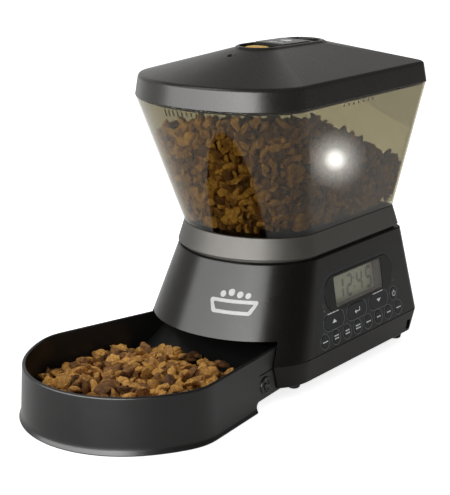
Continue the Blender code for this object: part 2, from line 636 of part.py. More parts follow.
def make_bowl(parent):
    """Dish with a ramp at the rear that brings the food down to the floor of the bowl."""
    bowl = loft("bowl", [
        bowl_ring(0.0, BOWL_FLARE - 0.0006),
        bowl_ring(0.0012, BOWL_FLARE),
        bowl_ring(0.0030, BOWL_FLARE - 0.0008),
        bowl_ring(0.0075, bowl_draft(0.0075)),
        bowl_ring(BOWL_RIM_Z - 0.0016, 0.0),
        bowl_ring(BOWL_RIM_Z, -0.0009),
    ])
    behind = BOWL_REAR_Y + 0.0140
    inside = loft("inside", [
        bowl_ring(BOWL_FLOOR_Z, -BOWL_WALL - 0.0040, behind),
        bowl_ring(BOWL_FLOOR_Z + 0.0040, -BOWL_WALL - 0.0008, behind),
        bowl_ring(BOWL_RIM_Z - 0.0010, -BOWL_WALL, behind),
        bowl_ring(BOWL_RIM_Z + 0.0010, -BOWL_WALL + 0.0010, behind),
    ])

    def ramp_z(y):
        return BOWL_FLOOR_Z + RAMP_SLOPE * (y - RAMP_FOOT_Y)

    ramp_top_z = ramp_z(RAMP_TOP_Y)
    past = behind + 0.01
    wedge = [(RAMP_FOOT_Y, BOWL_FLOOR_Z), (RAMP_TOP_Y, ramp_top_z), (past, ramp_top_z)]
    wedge += [(past, 0.0), (RAMP_FOOT_Y, 0.0)]
    cut(inside, prism("ramp", wedge, "x", -0.12, 0.12))
    cut(bowl, inside)
    # hollow underneath: flat below the floor, sloping below the ramp
    floor_under_z = BOWL_FLOOR_Z - BOWL_FLOOR_THICKNESS
    under = loft("under", [bowl_ring(-0.001, -0.0040, RAMP_FOOT_Y),
                           bowl_ring(floor_under_z, -0.0044, RAMP_FOOT_Y)])
    cut(bowl, under)
    half = BOWL_HALF_WIDTH - BOWL_TAPER * (BOWL_REAR_Y - BOWL_CENTRE_Y) - BOWL_WALL - 0.0006
    below_ramp = [(RAMP_FOOT_Y + 0.001, -0.001), (RAMP_FOOT_Y + 0.001, floor_under_z),
                  (RAMP_FOOT_Y + 0.0035, floor_under_z),
                  (RAMP_TOP_Y, ramp_top_z - RAMP_DEPTH), (RAMP_TOP_Y, -0.001)]
    cut(bowl, prism("below_ramp", below_ramp, "x", -half, half))
    # the flared foot stops short of the body, and the underside steps up behind it
    cut(bowl, box("step", (-0.12, BOWL_STEP_Y, -0.01), (0.12, 0.03, BOWL_STEP_Z)))
    for side in (1, -1):
        slit = box("slit", (0.060 * side, TAB_SLIT_Y, TAB_SLIT_Z),
                   (0.095 * side, behind, TAB_SLIT_Z + TAB_SLIT_HEIGHT))
        cut(bowl, slit)
        join(bowl, thumb_pad(side))
    return finish(bowl, "bowl_plastic", (0, 0, 0), parent)


def thumb_pad(side):
    """Raised round ring on a release tab, square to the bowl's side."""
    lean = math.atan(BOWL_TAPER)
    wall_x = BOWL_HALF_WIDTH + bowl_draft(TAB_PAD_Z) - BOWL_TAPER * (TAB_PAD_Y - BOWL_CENTRE_Y)
    pad = tube("pad", TAB_PAD_RADIUS, TAB_PAD_RADIUS - 0.0014, -0.0012, 0.0016, 16)
    bump = turned("bump", ((0.0021, -0.0012), (0.0021, 0.0012), (0.0012, 0.0018)), 10, "x")
    stem = box("stem", (-0.0012, -0.0011, -0.0036), (0.0014, 0.0011, 0.0))
    join(bump, stem)
    turn = Matrix.Rotation(lean * side, 4, "Z") @ Matrix.Scale(side, 4, (1, 0, 0))
    place = Matrix.Translation((wall_x * side, TAB_PAD_Y, TAB_PAD_Z)) @ turn
    for part in (pad, bump):
        part.data.transform(place)
        if side < 0:
            part.data.flip_normals()
    return join(pad, bridge_between(pad, bump, place, side))


def bridge_between(pad, bump, place, side):
    """Join the bump to the ring with a thin web that stays inside the bowl's wall."""
    reach = TAB_PAD_RADIUS - 0.0007
    web = box("web", (-0.0012, -reach, -0.0010), (-0.0004, reach, 0.0010))
    web.data.transform(place)
    if side < 0:
        web.data.flip_normals()
    return join(bump, web)


# ---------------------------------------------------------------- dispenser
def along_x(name, outline, low, high):
    """Extrude a (y, z) outline along X."""
    return prism(name, outline, "x", low, high)


def make_drum_housing(parent):
    """Drum round the rotor: open on top to the hopper and at the lower front to the chute."""
    centre = (ROTOR_Y, ROTOR_Z)
    half = DRUM_OUTER_HALF_LENGTH
    drum = along_x("rotor_housing", circle(DRUM_OUTER_RADIUS, 28, centre), -half, half)
    inlet_half_depth = MOUTH_HALF_DEPTH + 0.0024
    join(drum, box("inlet", (-MOUTH_HALF_WIDTH - 0.0024, ROTOR_Y - inlet_half_depth, ROTOR_Z),
                   (MOUTH_HALF_WIDTH + 0.0024, ROTOR_Y + inlet_half_depth, OUTLET.z - GAP)))
    inner = along_x("inner", circle(DRUM_RADIUS, 28, centre), -DRUM_HALF_LENGTH, DRUM_HALF_LENGTH)
    cut(drum, inner)
    cut(drum, box("mouth", (-MOUTH_HALF_WIDTH, ROTOR_Y - MOUTH_HALF_DEPTH, ROTOR_Z + 0.002),
                  (MOUTH_HALF_WIDTH, ROTOR_Y + MOUTH_HALF_DEPTH, 0.13)))
    cut(drum, box("exit", (-DRUM_HALF_LENGTH, ROTOR_Y - 0.03, ROTOR_Z - 0.03),
                  (DRUM_HALF_LENGTH, ROTOR_Y, ROTOR_Z - DRUM_OUTER_RADIUS * 0.43)))
    cut(drum, along_x("bores", circle(BUSH_RADIUS + GAP, 16, centre), -0.05, 0.05))
    return finish(drum, "inner_plastic", (0, *centre), parent)


def make_chute(parent):
    """Sloping channel from the drum to the rear of the bowl."""
    tail_z = ROTOR_Z - DRUM_OUTER_RADIUS - 0.0010
    slope = (tail_z - CHUTE_LIP_Z) / (ROTOR_Y - CHUTE_LIP_Y)
    floor = CHUTE_WALL / math.cos(math.atan(slope))
    clear_radius = DRUM_OUTER_RADIUS + 0.0006
    under_drum = arc((ROTOR_Y, ROTOR_Z), clear_radius, math.radians(-90), math.radians(-155), 5)
    side = [(CHUTE_LIP_Y, CHUTE_LIP_Z - floor), (ROTOR_Y, tail_z - floor)] + under_drum
    side.append((CHUTE_LIP_Y, CHUTE_LIP_Z + 0.0160))
    chute = along_x("chute", side, -CHUTE_HALF_WIDTH - CHUTE_WALL, CHUTE_HALF_WIDTH + CHUTE_WALL)
    low_y, high_y = CHUTE_LIP_Y - 0.010, ROTOR_Y + 0.002
    channel = [(low_y, CHUTE_LIP_Z - 0.010 * slope), (high_y, tail_z + 0.002 * slope)]
    channel += [(high_y, 0.095), (low_y, 0.095)]
    cut(chute, along_x("channel", channel, -CHUTE_HALF_WIDTH, CHUTE_HALF_WIDTH))
    return finish(chute, "inner_plastic", parent=parent)


def make_rotor(parent):
    """Paddle wheel that carries one portion of food in each pocket."""
    centre = Vector((ROTOR_Y, ROTOR_Z))
    outline = []
    half_blade = VANE_THICKNESS / 2
    root_turn = math.asin(half_blade / HUB_RADIUS)
    tip_turn = math.asin(half_blade / ROTOR_RADIUS)
    pitch = 2 * math.pi / VANES
    for vane in range(VANES):
        middle = vane * pitch + pitch / 2
        polar = [(HUB_RADIUS, middle - root_turn), (ROTOR_RADIUS, middle - tip_turn),
                 (ROTOR_RADIUS, middle + tip_turn), (HUB_RADIUS, middle + root_turn)]
        for share in (0.33, 0.67):
            polar.append((HUB_RADIUS, middle + root_turn + (pitch - 2 * root_turn) * share))
        for radius, angle in polar:
            outline.append(tuple(centre + Vector((math.cos(angle), math.sin(angle))) * radius))
    rotor = along_x("rotor", outline, -ROTOR_HALF_LENGTH, ROTOR_HALF_LENGTH)
    cut(rotor, along_x("bore", circle(SHAFT_RADIUS + GAP, 16, centre), -0.05, 0.05))
    return finish(rotor, "rotor_plastic", (0, *centre), parent)


def make_shaft(parent, base):
    """Rotor shaft and the two bushes it turns in."""
    centre = (ROTOR_Y, ROTOR_Z)
    low, high = SHAFT_ENDS
    profile = ((SHAFT_RADIUS - 0.0005, low), (SHAFT_RADIUS, low + 0.0005), (SHAFT_RADIUS, high - 0.0005),
               (SHAFT_RADIUS - 0.0005, high))
    finish(turned("rotor_shaft", profile, 16, "x", centre), "steel", (0, *centre), parent)
    for side, name in ((1, "right"), (-1, "left")):
        ends = sorted((side * (DRUM_HALF_LENGTH + 0.0001), side * (DRUM_OUTER_HALF_LENGTH - 0.0001)))
        bush = tube(f"shaft_bush_{name}", BUSH_RADIUS, SHAFT_RADIUS + GAP, *ends, 16, centre=centre)
        finish(bush, "brass", (0, *centre), base)


# ---------------------------------------------------------------- gear train
def gear_outline(teeth, centre, phase):
    """Spur gear of the common module with slim involute-like teeth. phase aims one tooth."""
    pitch_radius = MODULE * teeth / 2
    base_radius = pitch_radius * math.cos(math.radians(20))
    tip_radius = pitch_radius + 0.85 * MODULE
    root_radius = pitch_radius - 1.20 * MODULE
    half_tooth = 0.86 * math.pi / 2 / teeth

    def involute(radius):
        if radius <= base_radius:
            return 0.0
        roll = math.acos(base_radius / radius)
        return math.tan(roll) - roll

    at_pitch = involute(pitch_radius)
    flank = []
    for share in (0.0, 0.5, 1.0):
        radius = max(root_radius, base_radius) * (1 - share) + tip_radius * share
        flank.append((radius, half_tooth + at_pitch - involute(radius)))
    foot = (root_radius, flank[0][1])
    points = []
    for tooth in range(teeth):
        middle = phase + 2 * math.pi * tooth / teeth
        rising = [(radius, -turn) for radius, turn in [foot] + flank]
        falling = [(radius, turn) for radius, turn in reversed([foot] + flank)]
        if root_radius >= base_radius:
            rising, falling = rising[1:], falling[:-1]
        for radius, turn in rising + falling:
            angle = middle + turn
            points.append((centre[0] + radius * math.cos(angle), centre[1] + radius * math.sin(angle)))
    return points


def train_layout():
    """Centres of the idler and the pinion, and the phases that put all the teeth in mesh."""
    rotor = Vector((ROTOR_Y, ROTOR_Z))
    first = MODULE * (ROTOR_TEETH + IDLER_TEETH) / 2
    second = MODULE * (IDLER_TEETH + PINION_TEETH) / 2
    idler = rotor + Vector((math.cos(IDLER_DIRECTION), math.sin(IDLER_DIRECTION))) * first
    pinion = idler + Vector((math.cos(PINION_DIRECTION), math.sin(PINION_DIRECTION))) * second
    rotor_phase = IDLER_DIRECTION
    idler_phase = IDLER_DIRECTION + math.pi + math.pi / IDLER_TEETH
    tooth = 2 * math.pi / IDLER_TEETH
    offset = (idler_phase - PINION_DIRECTION) % tooth
    pinion_gap = PINION_DIRECTION + math.pi - offset * IDLER_TEETH / PINION_TEETH
    pinion_phase = pinion_gap + math.pi / PINION_TEETH
    return idler, pinion, rotor_phase, idler_phase, pinion_phase


def make_gear(name, teeth, centre, phase, bore_radius, parent):
    """Gear plate of the common width with a bore."""
    gear = along_x(name, gear_outline(teeth, centre, phase), GEAR_X, GEAR_X + GEAR_WIDTH)
    cut(gear, along_x("bore", circle(bore_radius, 12, centre), -0.06, -0.03))
    return finish(gear, "gear_plastic", (0, *centre), parent)


def make_drive(base, rotor_frame):
    """Motor, pinion, idler and rotor gear, carried by one plate on the drum's left end."""
    idler, pinion, rotor_phase, idler_phase, pinion_phase = train_layout()
    idler_frame = frame_empty("idler_frame", (0, *idler), base)
    pinion_frame = frame_empty("pinion_frame", (0, *pinion), base)
    make_gear("rotor_gear", ROTOR_TEETH, (ROTOR_Y, ROTOR_Z), rotor_phase, SHAFT_RADIUS + GAP, rotor_frame)
    make_gear("idler_gear", IDLER_TEETH, idler, idler_phase, 0.0020 + GAP, idler_frame)
    make_gear("motor_pinion", PINION_TEETH, pinion, pinion_phase, 0.0015 + GAP, pinion_frame)
    axle = turned("idler_axle", ((0.0020, -0.0460), (0.0020, PLATE_X + PLATE_THICKNESS)), 12, "x", idler)
    finish(axle, "steel", (0, *idler), base)
    face = PLATE_X + PLATE_THICKNESS + GAP
    motor = turned("gear_motor", (
        (0.0015, -0.0460), (0.0015, face), (MOTOR_RADIUS, face), (MOTOR_RADIUS, face + MOTOR_LENGTH),
        (0.0050, face + MOTOR_LENGTH), (0.0050, face + MOTOR_LENGTH + 0.003)), 20, "x", pinion)
    finish(motor, "steel", (0, *pinion), base)
    low_z, high_z = pinion[1] - 0.0110, ROTOR_Z + 0.0165
    front_y, rear_y = ROTOR_Y - 0.0165, pinion[0] + 0.0130
    corners = [(front_y, ROTOR_Z - 0.0120), (pinion[0] - 0.0200, low_z), (rear_y, low_z),
               (rear_y, pinion[1] + 0.0130), (idler[0], high_z), (front_y, high_z)]
    outline = rounded_polygon([(y, z, 0.004) for y, z in corners], 3)
    plate = along_x("gear_plate", outline, PLATE_X, PLATE_X + PLATE_THICKNESS)
    for centre, radius in (((ROTOR_Y, ROTOR_Z), BUSH_RADIUS), (idler, 0.0020 + GAP), (pinion, 0.0030)):
        cut(plate, along_x("hole", circle(radius, 12, centre), -0.05, -0.03))
    finish(plate, "steel", (PLATE_X, *idler), base)


# ---------------------------------------------------------------- control panel
def on_panel(piece, finish_name, panel, at=(0.0, 0.0)):
    """Finish a piece that was modelled in panel axes round the point at, and hang it there."""
    finish(piece, finish_name)
    piece.parent = panel
    piece.location = (at[0], at[1], 0.0)
    return piece


def make_panel_plates(panel):
    """Fascia, display bezel, window, well, LCD and control board."""
    fascia = prism("control_fascia", rounded_polygon(FASCIA_CORNERS), "z", -PANEL_THICKNESS, 0.0)
    middle = ((BEZEL_LEFT + BEZEL_RIGHT) / 2, (BEZEL_BOTTOM + BEZEL_TOP) / 2)
    size = (BEZEL_RIGHT - BEZEL_LEFT, BEZEL_TOP - BEZEL_BOTTOM)
    hole = (size[0] + 2 * GAP, size[1] + 2 * GAP)
    cut(fascia, prism("bezel_hole", rounded_rectangle(middle, hole, BEZEL_RADIUS + GAP), "z", -0.01, 0.01))
    for _, at, key_size, radius in key_table():
        wide = (key_size[0] + 2 * GAP, key_size[1] + 2 * GAP)
        cut(fascia, prism("key_hole", rounded_rectangle(at, wide, radius + GAP, 5), "z", -0.01, 0.01))
    for at in INDICATORS:
        cut(fascia, prism("lens_hole", circle(INDICATOR_RADIUS + GAP, 8, at), "z", -0.01, 0.01))
    on_panel(fascia, "fascia_plastic", panel)

    outline = rounded_rectangle(middle, size, BEZEL_RADIUS)
    bezel = prism("display_bezel", outline, "z", -PANEL_THICKNESS, 0.0002)
    opening = (WINDOW_SIZE[0] + 2 * GAP, WINDOW_SIZE[1] + 2 * GAP)
    opening_plan = rounded_rectangle(WINDOW_CENTRE, opening, WINDOW_RADIUS + GAP, 3)
    cut(bezel, prism("opening", opening_plan, "z", -0.01, 0.01))
    on_panel(bezel, "bezel_gloss", panel)

    window = prism("display_window", rounded_rectangle(WINDOW_CENTRE, WINDOW_SIZE, WINDOW_RADIUS, 3), "z",
                   -0.0014, -0.0001)
    on_panel(window, "window_clear", panel)

    top, bottom = -PANEL_THICKNESS - GAP, -DISPLAY_DEPTH
    rings = []
    for grow, c in ((0.0020, top), (0.0020, bottom), (0.0002, bottom), (0.0002, top)):
        grown_size = (WINDOW_SIZE[0] + 2 * grow, WINDOW_SIZE[1] + 2 * grow)
        plan = rounded_rectangle(WINDOW_CENTRE, grown_size, WINDOW_RADIUS + grow, 3)
        rings.append([(a, b, c) for a, b in plan])
    on_panel(loft("display_well", rings, wrap=True), "well_plastic", panel)

    lcd_size = (WINDOW_SIZE[0] + 0.006, WINDOW_SIZE[1] + 0.006)
    lcd = prism("lcd_module", rounded_rectangle(WINDOW_CENTRE, lcd_size, 0.001, 2), "z", -BOARD_DEPTH + GAP,
                bottom - GAP)
    on_panel(lcd, "lcd_face", panel)
    board = prism("control_board", rounded_rectangle(BOARD_CENTRE, BOARD_SIZE, 0.002, 2), "z",
                  -BOARD_DEPTH - BOARD_THICKNESS, -BOARD_DEPTH)
    on_panel(board, "board_green", panel)
    for name, at in zip(("front", "rear"), INDICATORS):
        lens = prism(f"indicator_{name}", circle(INDICATOR_RADIUS, 8), "z", -0.0060, 0.0003)
        on_panel(lens, "indicator", panel, at)


def key_table():
    """Name, place, size and corner radius of each key."""
    keys = []
    for index, name in enumerate(("up", "enter", "down")):
        at = (LARGE_KEY_START + LARGE_KEY_PITCH * index, LARGE_KEY_B)
        keys.append((f"key_{name}", at, LARGE_KEY_SIZE, LARGE_KEY_RADIUS))
    power_size = (2 * POWER_KEY_RADIUS, 2 * POWER_KEY_RADIUS)
    keys.append(("key_power", POWER_KEY, power_size, POWER_KEY_RADIUS - 1e-5))
    for index in range(8):
        at = (SMALL_KEY_START + SMALL_KEY_PITCH * index, SMALL_KEY_B)
        size = (2 * SMALL_KEY_RADIUS, 2 * SMALL_KEY_RADIUS)
        keys.append((f"key_small_{index + 1}", at, size, SMALL_KEY_RADIUS - 1e-5))
    return keys


def make_keys(panel):
    """Push keys: a cap through the fascia and a stem towards the control board."""
    for name, at, size, radius in key_table():
        rings = []
        for inset, c in ((0.0, -0.0030), (0.0, KEY_PROUD - 0.0003), (0.0004, KEY_PROUD)):
            plan = rounded_rectangle((0, 0), (size[0] - 2 * inset, size[1] - 2 * inset), radius - inset, 5)
            rings.append([(a, b, c) for a, b in plan])
        key = loft(name, rings)
        stem = prism("stem", circle(KEY_STEM_RADIUS, 8), "z", -KEY_STEM_LENGTH, -0.0010)
        join(key, stem)
        on_panel(key, "key_plastic", panel, at)


# ---------------------------------------------------------------- batteries
def make_batteries(base):
    """Battery box, four cells in two rows, their contacts and the door below."""
    low_z = TRAY_BOTTOM.z + WALL + GAP
    outer = box("battery_box", (-BAY_HALF_LENGTH - BOX_WALL, BAY_FRONT - BOX_WALL, low_z),
                (BAY_HALF_LENGTH + BOX_WALL, BAY_REAR + BOX_WALL, BOX_TOP_Z))
    cut(outer, box("bay", (-BAY_HALF_LENGTH, BAY_FRONT, 0.0),
                   (BAY_HALF_LENGTH, BAY_REAR, BOX_TOP_Z - BOX_WALL)))
    finish(outer, "inner_plastic", (0, BAY_FRONT, low_z), base)
    for row, y in zip(("front", "rear"), CELL_ROWS):
        for side, name in ((1, "right"), (-1, "left")):
            pole = 1 if row == "front" else -1
            start = 0.0003 if side > 0 else -0.0003 - CELL_LENGTH
            heights = [start, start + 0.0005, start + CELL_LENGTH - 0.0020, start + CELL_LENGTH - 0.0018,
                       start + CELL_LENGTH]
            radii = [CELL_RADIUS - 0.0005, CELL_RADIUS, CELL_RADIUS, 0.0032, 0.0032]
            if pole < 0:
                heights = [2 * start + CELL_LENGTH - height for height in heights]
            cell = turned(f"cell_{row}_{name}", tuple(zip(radii, heights)), 16, "x", (y, CELL_Z))
            finish(cell, "cell_jacket", (start, y, CELL_Z), base)
    middle = sum(CELL_ROWS) / 2
    contacts = (("battery_contact_left", -1, middle, 0.0200),
                ("battery_contact_right_front", 1, CELL_ROWS[0], 0.0060),
                ("battery_contact_right_rear", 1, CELL_ROWS[1], 0.0060))
    for name, side, y, half in contacts:
        ends = sorted((side * 0.0512, side * 0.0530))
        contact = box(name, (ends[0], y - half, CELL_Z - 0.006), (ends[1], y + half, CELL_Z + 0.006))
        finish(contact, "steel", (ends[0], y, CELL_Z), base)


def make_battery_door(parent):
    """Door in the tray's floor, with a thumb catch at its front edge."""
    door = box("battery_door", (-DOOR_HALF_LENGTH, DOOR_FRONT, TRAY_BOTTOM.z),
               (DOOR_HALF_LENGTH, DOOR_HINGE_Y, TRAY_BOTTOM.z + WALL))
    cut(door, box("catch", (-CATCH_HALF_WIDTH, DOOR_FRONT - 0.005, 0.0),
                  (CATCH_HALF_WIDTH, CATCH_REAR, TRAY_BOTTOM.z + WALL / 2)))
    finish(door, "body_plastic", (0, DOOR_HINGE_Y, TRAY_BOTTOM.z), parent)


# ---------------------------------------------------------------- assembly
def build():
    for old in list(bpy.data.objects):
        bpy.data.objects.remove(old)

    base = frame_empty("base_frame")
    hopper_frame = frame_empty("hopper_frame", (0, 0, HOPPER_BOTTOM.z), base)
    lid_frame = frame_empty("lid_frame", (0, 0, LID_BOTTOM.z - HOPPER_BOTTOM.z), hopper_frame)
    bowl_frame = frame_empty("bowl_frame", parent=base)
    rotor_frame = frame_empty("rotor_frame", (0, ROTOR_Y, ROTOR_Z), base)
    panel = frame_empty("panel_frame", parent=base)
    panel.matrix_world = panel_matrix()
    door_frame = frame_empty("door_frame", (0, DOOR_HINGE_Y, TRAY_BOTTOM.z), base)
    bpy.context.view_layer.update()

    make_lid(lid_frame)
    make_lid_seal(lid_frame)
    make_label_plate(lid_frame)
    make_latch(lid_frame)
    make_hopper(hopper_frame)
    make_collar(base)
    make_upper_body(base)
    make_base_tray(base)
    make_feet(base)
    make_screws(base)
    make_inlet(base)
    make_bowl(bowl_frame)
    make_drum_housing(base)
    make_chute(base)
    make_rotor(rotor_frame)
    make_shaft(rotor_frame, base)
    make_drive(base, rotor_frame)
    make_panel_plates(panel)
    make_keys(panel)
    make_batteries(base)
    make_battery_door(door_frame)
    bpy.context.view_layer.update()


build()
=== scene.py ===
"""Looks of the automatic pet feeder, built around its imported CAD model.

Metres, +Z up, in the CAD model's frame: the bowl points to -Y and the control panel faces +X.
Each visible moulding is made again with fine curves and rounded edges, rides on its CAD body and
stands for its CAD node. The pieces inside keep their CAD meshes and get their own finishes.
"""
import json
import math
from collections import namedtuple

import bmesh
import bpy
import numpy as np
from mathutils import Euler, Matrix, Vector, noise


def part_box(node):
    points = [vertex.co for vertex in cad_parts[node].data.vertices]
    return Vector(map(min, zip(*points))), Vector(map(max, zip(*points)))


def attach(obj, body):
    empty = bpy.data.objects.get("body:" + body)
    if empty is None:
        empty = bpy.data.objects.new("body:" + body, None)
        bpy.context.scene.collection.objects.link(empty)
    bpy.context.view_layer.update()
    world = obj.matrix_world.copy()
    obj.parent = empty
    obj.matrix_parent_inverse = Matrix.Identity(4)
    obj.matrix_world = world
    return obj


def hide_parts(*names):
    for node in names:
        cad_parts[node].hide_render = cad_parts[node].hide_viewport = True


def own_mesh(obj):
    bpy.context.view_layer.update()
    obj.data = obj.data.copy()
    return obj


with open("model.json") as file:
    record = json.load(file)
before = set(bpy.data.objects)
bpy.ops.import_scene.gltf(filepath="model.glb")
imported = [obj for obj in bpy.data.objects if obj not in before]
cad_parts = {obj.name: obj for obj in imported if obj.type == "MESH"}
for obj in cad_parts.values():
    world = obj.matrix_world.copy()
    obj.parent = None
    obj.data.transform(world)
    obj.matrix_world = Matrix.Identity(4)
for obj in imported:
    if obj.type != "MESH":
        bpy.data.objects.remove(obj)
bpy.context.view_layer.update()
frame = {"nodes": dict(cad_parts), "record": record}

# ---------------------------------------------------------------- driving dimensions
Station = namedtuple("Station", "z half_width front centre rear")

GAP = 0.0003
WALL = 0.0024
SIDE_TAPER = 0.08
REAR_CORNER = 0.0104
FRONT_STEPS = 96
CORNER_STEPS = 10
HOUSING_EASE, BOWL_EASE = 12, 24     # how late the nose starts to lean towards the tapered sides

# plan of the housing at its horizontal edges, from the top down
LID_PLATEAU = Station(0.2890, 0.0195, 0.0290, 0.0500, 0.1250)
LID_BROW = Station(0.2870, 0.0215, 0.0265, 0.0500, 0.1275)
LID_CREASE = Station(0.2665, 0.0858, -0.0546, 0.0066, 0.2029)
LID_BOTTOM = Station(0.2482, 0.0891, -0.0570, 0.0066, 0.2041)
HOPPER_TOP = Station(0.2479, 0.0886, -0.0564, 0.0066, 0.2035)
HOPPER_BOTTOM = Station(0.1341, 0.0680, -0.0121, 0.0448, 0.1796)
COLLAR_TOP = Station(0.1338, 0.0680, -0.0121, 0.0448, 0.1796)
COLLAR_BOTTOM = Station(0.1159, 0.0726, -0.0195, 0.0448, 0.1832)
BODY_TOP = Station(0.1128, 0.0727, -0.0182, 0.0448, 0.1865)
BODY_BOTTOM = Station(0.0319, 0.0885, -0.0527, 0.0176, 0.1986)
TRAY_TOP = Station(0.0316, 0.0885, -0.0527, 0.0176, 0.1986)
TRAY_BOTTOM = Station(0.0105, 0.0859, -0.0485, 0.0176, 0.1928)

# lid
LID_WALL = 0.0026
PLATEAU_CORNER = 0.0180
SHELF_WIDTH, SHELF_THICKNESS = 0.0062, 0.0018
RECESS_HALF_WIDTH, RECESS_FRONT, RECESS_REAR, RECESS_DEPTH = 0.0175, 0.0320, 0.1220, 0.0150
BAR_FRONT, BAR_REAR = 0.0610, 0.1010
WELL_WALL = 0.0022
VENT_RADIUS, VENT_Y = 0.0026, 0.0126
SEAL_HEIGHT, SEAL_THICKNESS = 0.0026, 0.0022
LATCH_CORNER = 0.0060
SPRING_RADIUS, SPRING_WIRE, SPRING_TURNS = 0.0032, 0.0005, 4
ABOVE_ALL = 0.30        # height that clears the lid, for the tools that cut it

# hopper
HOPPER_WALL = 0.0015
NECK_INSET = 0.0035
NECK_BOTTOM_Z, FUNNEL_TOP_Z = 0.1256, 0.1280
OUTLET = Station(0.1143, 0.0260, 0.0240, 0.0340, 0.0560)
OUTLET_TOP_Z = 0.1170
SPIGOT_INSET = 0.0040
SHOULDER_Z = HOPPER_BOTTOM.z + 0.0036

# body
CORNERS = [(row, side) for row in ("front", "rear") for side in ("left", "right")]
SCREW_HOLE = 0.0017     # radius of the holes for the case screws

# bowl
BOWL_RIM_Z, BOWL_HALF_WIDTH = 0.0472, 0.0905
BOWL_CENTRE_Y, BOWL_FRONT_Y, BOWL_REAR_Y = -0.1062, -0.2000, 0.0060
BOWL_TAPER, BOWL_FLARE, BOWL_DRAFT, BOWL_WALL = 0.18, 0.0041, 0.0026, 0.0033
BOWL_FLOOR_Z, BOWL_FLOOR_THICKNESS = 0.0120, 0.0030
BOWL_STEP_Y, BOWL_STEP_Z = -0.0460, 0.0090
RAMP_FOOT_Y, RAMP_SLOPE, RAMP_TOP_Y, RAMP_DEPTH = -0.0325, 0.732, 0.0030, 0.0040
TAB_SLIT_Y, TAB_SLIT_Z, TAB_SLIT_HEIGHT = -0.0400, 0.0300, 0.0010
TAB_PAD_Y, TAB_PAD_Z = -0.0310, 0.0195
ARCH_CLEARANCE, ARCH_TOP_Z, NOTCH_REAR_Y = 0.0009, 0.0518, 0.0084

# control panel, in its own axes: a to the rear, b up the panel, c out of it
PANEL_Y, PANEL_Z, PANEL_THICKNESS = 0.1000, 0.0600, 0.0022
FASCIA_CORNERS = (
    (-0.0742, -0.0264, 0.0015), (0.0702, -0.0264, 0.0015),
    (0.0640, 0.0375, 0.0240), (-0.0575, 0.0375, 0.0240),
)
BEZEL_LEFT, BEZEL_RIGHT, BEZEL_BOTTOM, BEZEL_TOP, BEZEL_RADIUS = -0.0530, 0.0580, 0.0025, 0.0345, 0.0150
WINDOW_CENTRE, WINDOW_SIZE, WINDOW_RADIUS = (0.0015, 0.0188), (0.0770, 0.0275), 0.0020
DISPLAY_DEPTH = 0.0096
LARGE_KEY_PITCH, LARGE_KEY_START, LARGE_KEY_B = 0.0367, -0.0434, -0.0048
LARGE_KEY_SIZE, LARGE_KEY_RADIUS = (0.0310, 0.0138), 0.0062
POWER_KEY, POWER_KEY_RADIUS = (0.0565, -0.0048), 0.0058
SMALL_KEY_PITCH, SMALL_KEY_START, SMALL_KEY_B, SMALL_KEY_RADIUS = 0.0175, -0.0605, -0.0196, 0.0061
KEY_PROUD = 0.0005
INDICATORS, INDICATOR_RADIUS = ((-0.0562, 0.0068), (0.0572, 0.0075)), 0.0012
PRINT = 0.00006         # thickness of printed marks


# ---------------------------------------------------------------- node trees
class Tree:
    """Short way to add nodes to a material's or a world's node tree."""

    def __init__(self, owner):
        owner.use_nodes = True
        self.tree = owner.node_tree
        self.tree.nodes.clear()

    def add(self, kind, values=None, **settings):
        """New node. values are numbers or links by socket, settings are the node's own."""
        node = self.tree.nodes.new(kind)
        for name, value in settings.items():
            setattr(node, name, value)
        for socket, value in (values or {}).items():
            if isinstance(value, bpy.types.NodeSocket):
                self.tree.links.new(value, node.inputs[socket])
            else:
                node.inputs[socket].default_value = value
        return node

    def math(self, operation, *values):
        """Result of a calculation on numbers or other results."""
        return self.add("ShaderNodeMath", dict(enumerate(values)), operation=operation).outputs[0]

    def bump(self, height, distance, strength):
        values = {"Height": height, "Distance": distance, "Strength": strength}
        return self.add("ShaderNodeBump", values).outputs["Normal"]

    def mix(self, factor, first, second):
        """Shader that goes from the first to the second with the factor."""
        return self.add("ShaderNodeMixShader", {0: factor, 1: first.outputs[0], 2: second.outputs[0]})

    def noise(self, where, scale, detail=3.0, roughness=0.55):
        values = {"Vector": where, "Scale": scale, "Detail": detail, "Roughness": roughness}
        return self.add("ShaderNodeTexNoise", values).outputs["Fac"]

    def spread(self, factor, low, high, start=0.3, end=0.7):
        """Factor between start and end, mapped to low and high."""
        values = {"Value": factor, "From Min": start, "From Max": end, "To Min": low, "To Max": high}
        return self.add("ShaderNodeMapRange", values).outputs["Result"]

    def blend(self, factor, first, second):
        """Colour that goes from the first to the second with the factor."""
        mix = self.add("ShaderNodeMix", data_type="RGBA")
        sockets = [s for s in mix.inputs if s.enabled]
        for socket, value in zip(sockets, (factor, first, second)):
            if isinstance(value, bpy.types.NodeSocket):
                self.tree.links.new(value, socket)
            else:
                socket.default_value = value
        return [s for s in mix.outputs if s.enabled][0]

    def finish(self, shader, kind="ShaderNodeOutputMaterial"):
        """Lead a shader to the output."""
        output = self.add(kind)
        self.tree.links.new(shader.outputs[0], output.inputs["Surface"])


def new_material(name):
    """New material, its tree and the place on the object."""
    made = bpy.data.materials.new(name)
    tree = Tree(made)
    return made, tree, tree.add("ShaderNodeTexCoord").outputs["Object"]


def shade(colour, factor):
    """Colour made lighter or darker."""
    return tuple(min(channel * factor, 1.0) for channel in colour[:3]) + (1.0,)


